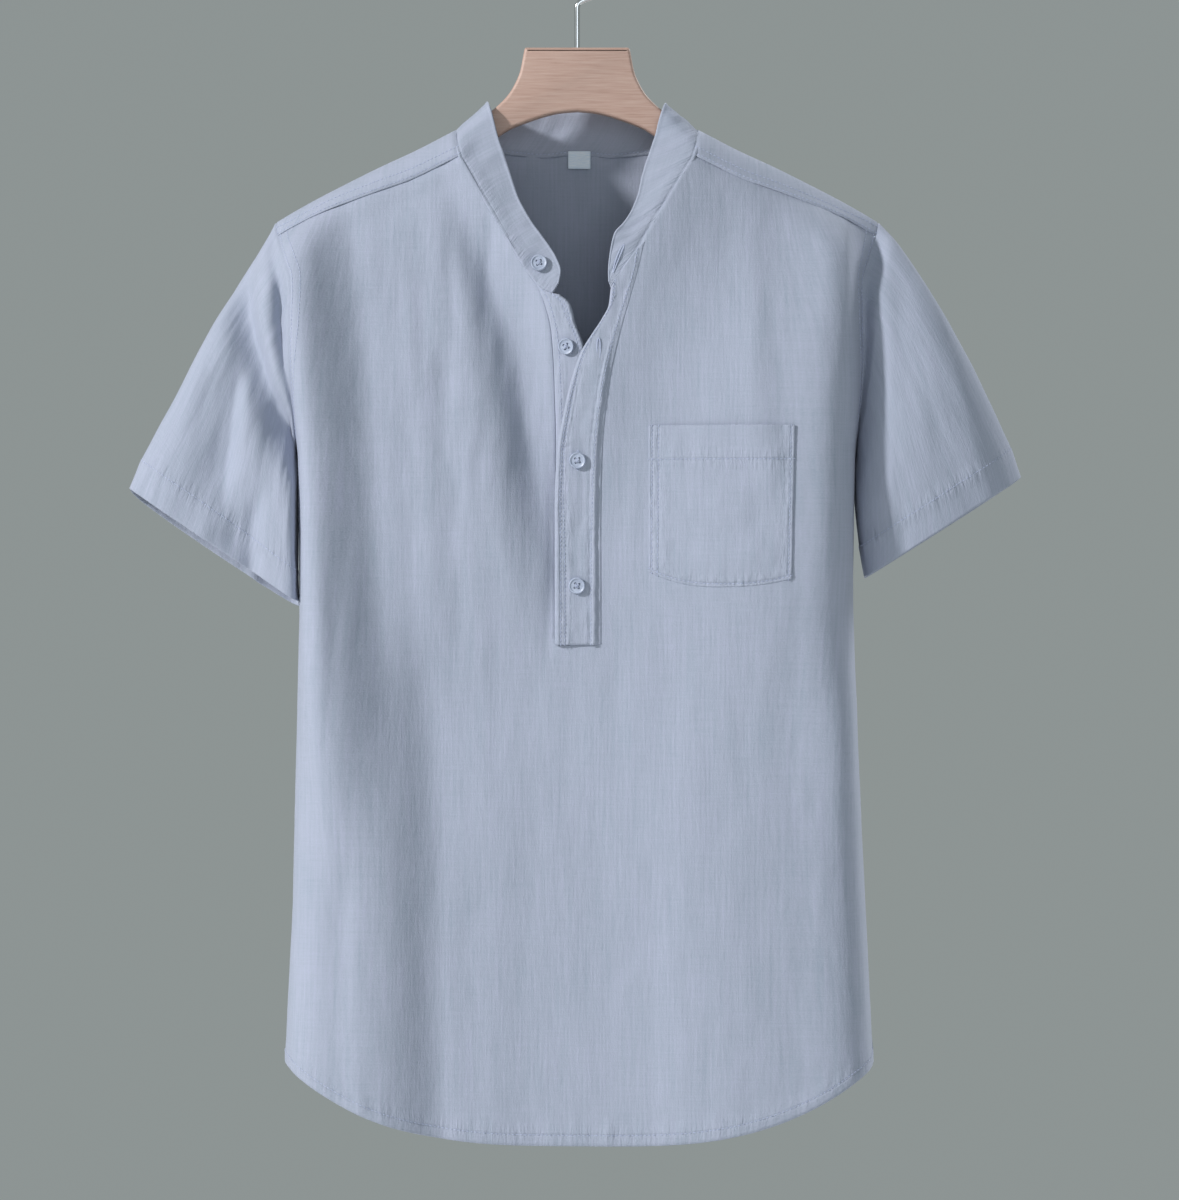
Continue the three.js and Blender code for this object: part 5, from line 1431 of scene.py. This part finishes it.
def tones(ramp: bpy.types.Node, *stops: tuple[float, str]) -> bpy.types.NodeSocket:
    """Sets the colours of a colour ramp, from low to high, and returns its colour output."""
    elements = ramp.color_ramp.elements
    while len(elements) > 1:
        elements.remove(elements[-1])
    elements[0].position, elements[0].color = stops[0][0], colour(stops[0][1])
    for position, hexcode in stops[1:]:
        elements.new(position).color = colour(hexcode)
    return ramp.outputs["Color"]


def blended(tree: bpy.types.NodeTree, *parts: tuple[bpy.types.NodeSocket, float]) -> bpy.types.NodeSocket:
    """The sum of several values, each times its own weight."""
    total = None
    for socket, weight in parts:
        inputs = {0: socket, 1: weight, 2: 0.0 if total is None else total}
        total = add(tree, "ShaderNodeMath", inputs, operation="MULTIPLY_ADD").outputs[0]
    return total


@dataclass(frozen=True)
class LinenCloth:
    """Washed linen and cotton: uneven yarns that run down the cloth in paler and darker streaks."""

    name: str = "Washed linen and cotton plain weave"
    dark: str = "#929DAD"
    middle: str = "#A2A8B9"
    light: str = "#AEB1C7"

    def make(self) -> bpy.types.Material:
        """Builds the material over the cloth's own coordinates in mm."""
        material, tree, shader = shaded(
            self.name, Roughness=0.88, Sheen_Weight=0.25, Sheen_Roughness=0.5, Specular_IOR_Level=0.25,
            Sheen_Tint=colour("#DDE2F0"),
        )
        cloth = add(tree, "ShaderNodeAttribute", attribute_name="cloth").outputs["Vector"]
        edge = add(tree, "ShaderNodeSeparateXYZ", {0: cloth}).outputs["Z"]
        layers = {}
        for layer, size, detail in (
            # Yarns of uneven thickness run down the cloth and across it. The real ones are 0.4 mm wide, and
            # are drawn 1.5 mm wide so that they still show at the picture's size.
            ("warp", (1.6, 60), 3.0), ("weft", (26, 1.3), 3.0),
            # Washing leaves broad mottling that is just visible
            ("wash", (34, 60), 4.0), ("grain", (0.9, 0.9), 2.0),
            # and short upright crinkles, the width of a few yarns
            ("crinkle", (2.6, 13), 3.0),
        ):
            scale = (1 / size[0], 1 / size[1], 0.0)
            place = add(tree, "ShaderNodeVectorMath", {0: cloth, 1: scale}, operation="MULTIPLY").outputs[0]
            inputs = {"Vector": place, "Scale": 1.0, "Detail": detail, "Roughness": 0.6}
            layers[layer] = add(tree, "ShaderNodeTexNoise", inputs).outputs[0]
        tone = blended(tree, (layers["warp"], 0.4), (layers["weft"], 0.2), (layers["grain"], 0.2),
                       (layers["wash"], 0.2))
        ramp = add(tree, "ShaderNodeValToRGB", {"Fac": tone})
        tree.links.new(tones(ramp, (0.3, self.dark), (0.5, self.middle), (0.72, self.light)),
                       shader.inputs["Base Color"])
        # The doubled cloth sinks along each row of stitches
        seam = add(tree, "ShaderNodeMapRange", {"Value": edge, "From Max": 1.4})
        # and puckers up to 9 mm to each side of it
        near = add(tree, "ShaderNodeMapRange",
                   {"Value": edge, "From Min": 3.0, "From Max": 9.0, "To Min": 1.0,
                                                "To Max": 0.0})
        pucker = add(tree, "ShaderNodeMath", {0: layers["crinkle"], 1: near.outputs[0]},
                     operation="MULTIPLY")
        height = blended(tree, (layers["warp"], 0.25), (layers["weft"], 0.25), (layers["grain"], 0.35),
                         (layers["crinkle"], 0.7), (pucker.outputs[0], 1.6), (seam.outputs[0], 0.9))
        bump = add(tree, "ShaderNodeBump", {"Height": height, "Distance": 0.55 * MM, "Strength": 0.8})
        tree.links.new(bump.outputs[0], shader.inputs["Normal"])
        return material


@dataclass(frozen=True)
class SolidFinish:
    """A finish of mottled tone over an object's own coordinates."""

    name: str
    colours: tuple[str, ...]
    size: tuple[float, float, float]
    detail: float = 2.0
    relief: float = 0.0
    constants: dict[str, float] = field(default_factory=dict)

    def make(self) -> bpy.types.Material:
        """Builds the material, with its pattern's size in mm along x, y and z."""
        material, tree, shader = shaded(self.name, **self.constants)
        place = add(tree, "ShaderNodeTexCoord").outputs["Object"]
        scale = tuple(1 / (s * MM) for s in self.size)
        place = add(tree, "ShaderNodeVectorMath", {0: place, 1: scale}, operation="MULTIPLY").outputs[0]
        inputs = {"Vector": place, "Scale": 1.0, "Detail": self.detail, "Roughness": 0.62}
        tone = add(tree, "ShaderNodeTexNoise", inputs).outputs[0]
        ramp = add(tree, "ShaderNodeValToRGB", {"Fac": tone})
        spots = np.linspace(0.3, 0.7, len(self.colours)).tolist()
        tree.links.new(tones(ramp, *zip(spots, self.colours)), shader.inputs["Base Color"])
        if self.relief:
            bump = add(tree, "ShaderNodeBump",
                       {"Height": tone, "Distance": self.relief * MM, "Strength": 0.7})
            tree.links.new(bump.outputs[0], shader.inputs["Normal"])
        return material


# Matt polyester thread a shade lighter than the cloth; the extra lightness is painted highlight, so that
# the rows of stitches look as if they catch the light
THREAD = SolidFinish("Matt sewing thread", ("#A2AAC4", "#B8BFD6"), (1.5, 1.5, 1.5), 1.0, 0.0,
                     {"Roughness": 0.7, "Sheen_Weight": 0.2})
# Pale satin ribbon with fine ribs across, smoother than the shirt's cloth. Its near-white tone is partly
# its own pale colour and partly painted light, lightened so that it looks lit inside the shaded neck
LABEL = SolidFinish("Woven satin ribbon", ("#D6E6F8", "#F2F8FF"), (6, 2, 0.5), 2.0, 0.12,
                    {"Roughness": 0.5, "Sheen_Weight": 0.2})
# Polyester resin dyed to the cloth: a soft gloss with clouds just under the surface
RESIN = SolidFinish("Dyed polyester resin", ("#9AA3B8", "#B4BCCF"), (5, 5, 3), 3.0, 0.0,
                    {"Roughness": 0.36, "IOR": 1.5, "Coat_Weight": 0.12, "Coat_Roughness": 0.2})
# Bare sanded beech, pinkish, with pores and rays that run along the board
WOOD = SolidFinish("Sanded beech", ("#AB8B7D", "#B59588", "#BA9C8F", "#C0A397"), (26, 3, 1.2), 4.0, 0.15,
                   {"Roughness": 0.52, "IOR": 1.5})
# Bright nickel plate over drawn steel wire
NICKEL = SolidFinish("Nickel plated steel wire", ("#CDCFD1", "#DEDFE0"), (2, 2, 20), 2.0, 0.02,
                     {"Roughness": 0.16, "Metallic": 1.0})


@dataclass
class Shirt:
    """The shirt on its hanger: every piece, dressed and tied to the frame."""

    panels: Panels = field(default_factory=Panels)
    materials: dict[str, bpy.types.Material] = field(default_factory=dict)

    def sleeves(self) -> list[Sleeve]:
        """Both sleeves, with the sizes that the CAD has."""
        names = "s outX outZ inX inZ depth"
        left = Table(names, [
            (0, 218, -203, 203.9, -376, 27), (0.1, 229.5, -222.5, 203.2, -387, 32),
            (0.3, 253.5, -260, 202.9, -408, 36), (0.5, 275.2, -297.2, 202.8, -428, 37),
            (0.7, 295.2, -337, 202.8, -448, 35), (0.88, 314.5, -372.5, 202.8, -466, 32),
            (1, 325.2, -395.9, 202.8, -478, 31),
        ])
        right = Table(names, [
            (0, 218, -203, 202.9, -376, 27), (0.1, 231.5, -217.5, 202.3, -385, 33),
            (0.3, 257, -256, 202.4, -402, 38), (0.5, 277.5, -292.5, 203.5, -419, 39),
            (0.7, 297, -330, 205.4, -435, 37), (0.88, 313.5, -365.5, 207.6, -450, 34),
            (1, 321.5, -388.5, 209.5, -460, 32),
        ])
        left_folds = [
            Fold((-219, -230, -135), (-185, -300, -450), 17, 6, -16),
            Fold((-222, -219, -206), (-205, -275, -370), 9, 9, 4),
            Fold((-209, -208, -206), (-190, -255, -335), 10, 4, -16),
            Fold((-246, -252, -263), (-290, -362, -430), 20, 8, -11),
            Fold((-246, -248, -250), (-385, -415, -460), 12, 8, -4),
            Fold((-231, -235, -238), (-392, -430, -490), 8, 7, -6),
            Fold((-195, -197, -199), (-330, -410, -600), 22, 4, 15),
        ]
        right_folds = [
            Fold((216, 213, 206), (-226, -300, -440), 8, 10, 3),
            Fold((232, 236, 240), (-206, -270, -350), 12, 16, -2.2),
            Fold((258, 284, 300), (-290, -350, -410), 20, 20, 1.8),
            Fold((227, 229, 231), (-180, -340, -600), 18, 60, 10),
            Fold((262, 284, 306), (-180, -310, -520), 55, 26, 8),
        ]
        left_creases = [Fold((-262, -268, -280), (-250, -310, -380), 10, 8, -1.2)]
        right_creases = [
            Fold((252, 262, 270), (-250, -330, -430), 14, 12, -0.7),
            Fold((226, 230, 236), (-340, -390, -450), 10, 9, -0.8),
        ]
        return [
            Sleeve("sleeve_left_cloth", -1, 7, left, left_folds, left_creases, 1.2),
            Sleeve("sleeve_right_cloth", 1, 3, right, right_folds, right_creases, 0.8),
        ]

    def tie(self, piece: bpy.types.Object, material: str, slot: str, *nodes: str) -> None:
        """Gives a piece its material and ties it to the frame in place of CAD nodes."""
        if material != "thread" or not piece.data.materials:
            piece.data.materials.clear()
            piece.data.materials.append(self.materials[material])
        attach(piece, "root")
        if nodes:
            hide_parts(*nodes)
        log.info("%s: %d faces", piece.name, len(piece.data.polygons))

    def build(self) -> None:
        """Builds all pieces in order."""
        for name, finish in (("linen", LinenCloth()), ("thread", THREAD), ("label", LABEL),
                             ("resin", RESIN),
                             ("wood", WOOD), ("metal", NICKEL)):
            self.materials[name] = finish.make()
        board, hook = HangerBoard().build(), Hook().build()
        self.tie(board, "wood", "hanger_wood", "hanger_board")
        self.tie(hook, "metal", "hook_metal", "hanger_hook")
        front, back = self.panels.build()
        self.tie(front, "linen", "shirt_cloth", "front_panel")
        self.tie(back, "linen", "shirt_cloth", "back_panel")
        makers: list = [self.panels]
        for sleeve, node in zip(self.sleeves(), ("sleeve_left", "sleeve_right")):
            piece = sleeve.build(self.panels)
            self.tie(piece, "linen", "shirt_cloth", node)
            makers.append(sleeve)
        collar = CollarStand()
        under = Placket("placket_under_cloth", UNDER_EDGE, LEFT_INNER, 0.215, L, 1.05, 1.2, -0.5)
        over = Placket("placket_over_cloth", OVER_EDGE, RIGHT_INNER, 0.18, R, 1.8, 1.5, 1.5)
        pocket = ChestPocket()
        for maker, node, flat, area in (
            (collar, "collar_stand", (0.45, 0.03), 0.0124), (under, "placket_under", (0.03, 0.26), 0.0067),
            (over, "placket_over", (0.031, 0.26), 0.0075),
            (pocket, "chest_pocket", (0.105, 0.118), 0.01225),
        ):
            piece = maker.build()
            self.tie(piece, "linen", "shirt_cloth", node)
            makers.append(maker)
        label = NeckLabel().build()
        self.tie(label, "label", "label_cloth", "neck_label")
        lines = [line for maker in makers for line in maker.stitch_lines]
        stitches = StitchRows().build("seam_stitches", lines, self.materials["thread"])
        self.tie(stitches, "thread", "shirt_cloth")
        self.fasten(collar)

    def fasten(self, collar: CollarStand) -> None:
        """Adds the buttons, their thread and the buttonholes."""
        threads = []
        at = [("button_2", -6.6, -294.8, L, 1.05, 0.35), ("button_3", 1.0, -377.0, R, 1.8, 0.1),
              ("button_4", 0.6, -467.0, R, 1.8, -0.15)]
        k = np.array([[2.5, 2.6, 2.7]] * 3)
        up = np.array([[0.5] * 3, [0.42] * 3, [0.34] * 3])
        patch = collar.at(k, up)
        buttons = [Button("button_1_collar_resin", *self.seat(patch, BAND / 2 + 1.0), 0.2)]
        for name, x, z, flap, lift, turn in at:
            xs, zs = np.meshgrid([x - 5, x, x + 5], [z + 5, z, z - 5])
            patch = FORM.on_front(xs, zs, flap, lift)
            buttons.append(Button(name + "_resin", *self.seat(patch, BAND / 2 + 0.55), turn))
        for button, node in zip(buttons, ("button_1_collar", "button_2", "button_3", "button_4")):
            self.tie(button.build(), "resin", "button_resin", node)
            threads.append(button.thread())
        for x, z, lift in ((16.0, -297.0, 1.6), (1.0, -377.0, 1.8), (0.6, -467.0, 1.8)):
            threads.append(self.buttonhole(
                lambda across, along: FORM.on_front(x + across, z + along, R, lift + BAND / 2 + 0.05)))
        hole = len(COLLAR_ROWS) - 3.2
        threads.append(self.buttonhole(
            lambda across, along: collar.at(hole + along * 0.12, 0.5 + across * 0.05) - (0, BAND / 2
                                                                                         + 0.3, 0)))
        vertices, faces = joined(threads)
        self.tie(mesh_object("button_threads", vertices, faces), "thread", "shirt_cloth")

    @staticmethod
    def seat(patch: np.ndarray, lift: float) -> tuple[np.ndarray, np.ndarray]:
        """Where a button sits on a 3 x 3 patch of cloth, and the direction it faces."""
        normal = np.cross(patch[2, 1] - patch[0, 1], patch[1, 2] - patch[1, 0])
        normal /= np.linalg.norm(normal)
        normal *= -np.sign(normal[1])
        return patch[1, 1] + normal * lift, normal

    @staticmethod
    def buttonhole(place: Callable[[np.ndarray, np.ndarray], np.ndarray]) -> tuple[np.ndarray,
                                                                                   list[list[int]]]:
        """The raised ring of thread round a buttonhole.

        Args:
            place: Gives points on the cloth, from distances across and along the buttonhole in mm.

        Returns:
            Vertices and faces.
        """
        turn = np.linspace(0, 2 * math.pi, 41)
        along = np.sign(np.sin(turn)) * np.abs(np.sin(turn)) ** 0.7 * 7.2
        return swept(place(np.cos(turn) * 1.15, along), 0.42, 8)


def stage() -> None:
    """Makes the floor, the lights, the pale surroundings and the camera."""
    floor = mesh_object("floor", np.array([
        (-2600, -2600, FLOOR_Z), (2600, -2600, FLOOR_Z), (2600, 2600, FLOOR_Z), (-2600, 2600, FLOOR_Z),
    ]), [[0, 1, 2, 3]])
    floor.data.materials.append(SolidFinish("Matt pale paper", ("#DADCDB", "#E2E4E3"), (300, 300, 300),
                                            1.0, 0.0,
                                            {"Roughness": 0.9}).make())
    centre = Vector(CENTRE * MM)
    for name, azimuth, elevation, distance, size, power in (
        ("key", -60, 25, 7.0, 0.6, 472), ("fill", 6, 8, 5.0, 3.0, 42), ("rim", 128, 35, 6.0, 1.6, 200),
    ):
        light = bpy.data.lights.new(name, "AREA")
        light.shape = "DISK"
        light.size = size
        light.energy = power
        light.color = (0.86, 0.93, 1.0) if name == "fill" else (1.0, 1.0, 1.0)
        lamp = bpy.data.objects.new(name, light)
        a, e = math.radians(azimuth), math.radians(elevation)
        away = Vector((math.sin(a) * math.cos(e), -math.cos(a) * math.cos(e), math.sin(e)))
        lamp.location = centre + away * distance
        lamp.rotation_euler = away.to_track_quat("Z", "Y").to_euler()
        bpy.context.scene.collection.objects.link(lamp)
    world = bpy.data.worlds.new("studio")
    bpy.context.scene.world = world
    world.use_nodes = True
    background = world.node_tree.nodes["Background"]
    background.inputs["Color"].default_value = colour("#CFD9D8")
    background.inputs["Strength"].default_value = 0.43
    lens = bpy.data.cameras.new("camera")
    lens.sensor_fit = "VERTICAL"
    lens.sensor_height = 36.0
    lens.lens = 36.0 * CAMERA_DISTANCE / PHOTO_HEIGHT
    lens.clip_end = 100
    camera = bpy.data.objects.new("camera", lens)
    camera.location = centre + Vector((0, -CAMERA_DISTANCE * MM, 0))
    camera.rotation_euler = (math.pi / 2, 0, 0)
    bpy.context.scene.collection.objects.link(camera)
    bpy.context.scene.camera = camera
    bpy.context.scene.view_settings.view_transform = "Standard"


def main() -> None:
    """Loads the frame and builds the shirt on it."""
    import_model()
    stage()
    Shirt().build()
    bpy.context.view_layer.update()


if __name__ == "__main__":
    logging.basicConfig(level=logging.INFO, format="%(name)s: %(message)s")
    main()
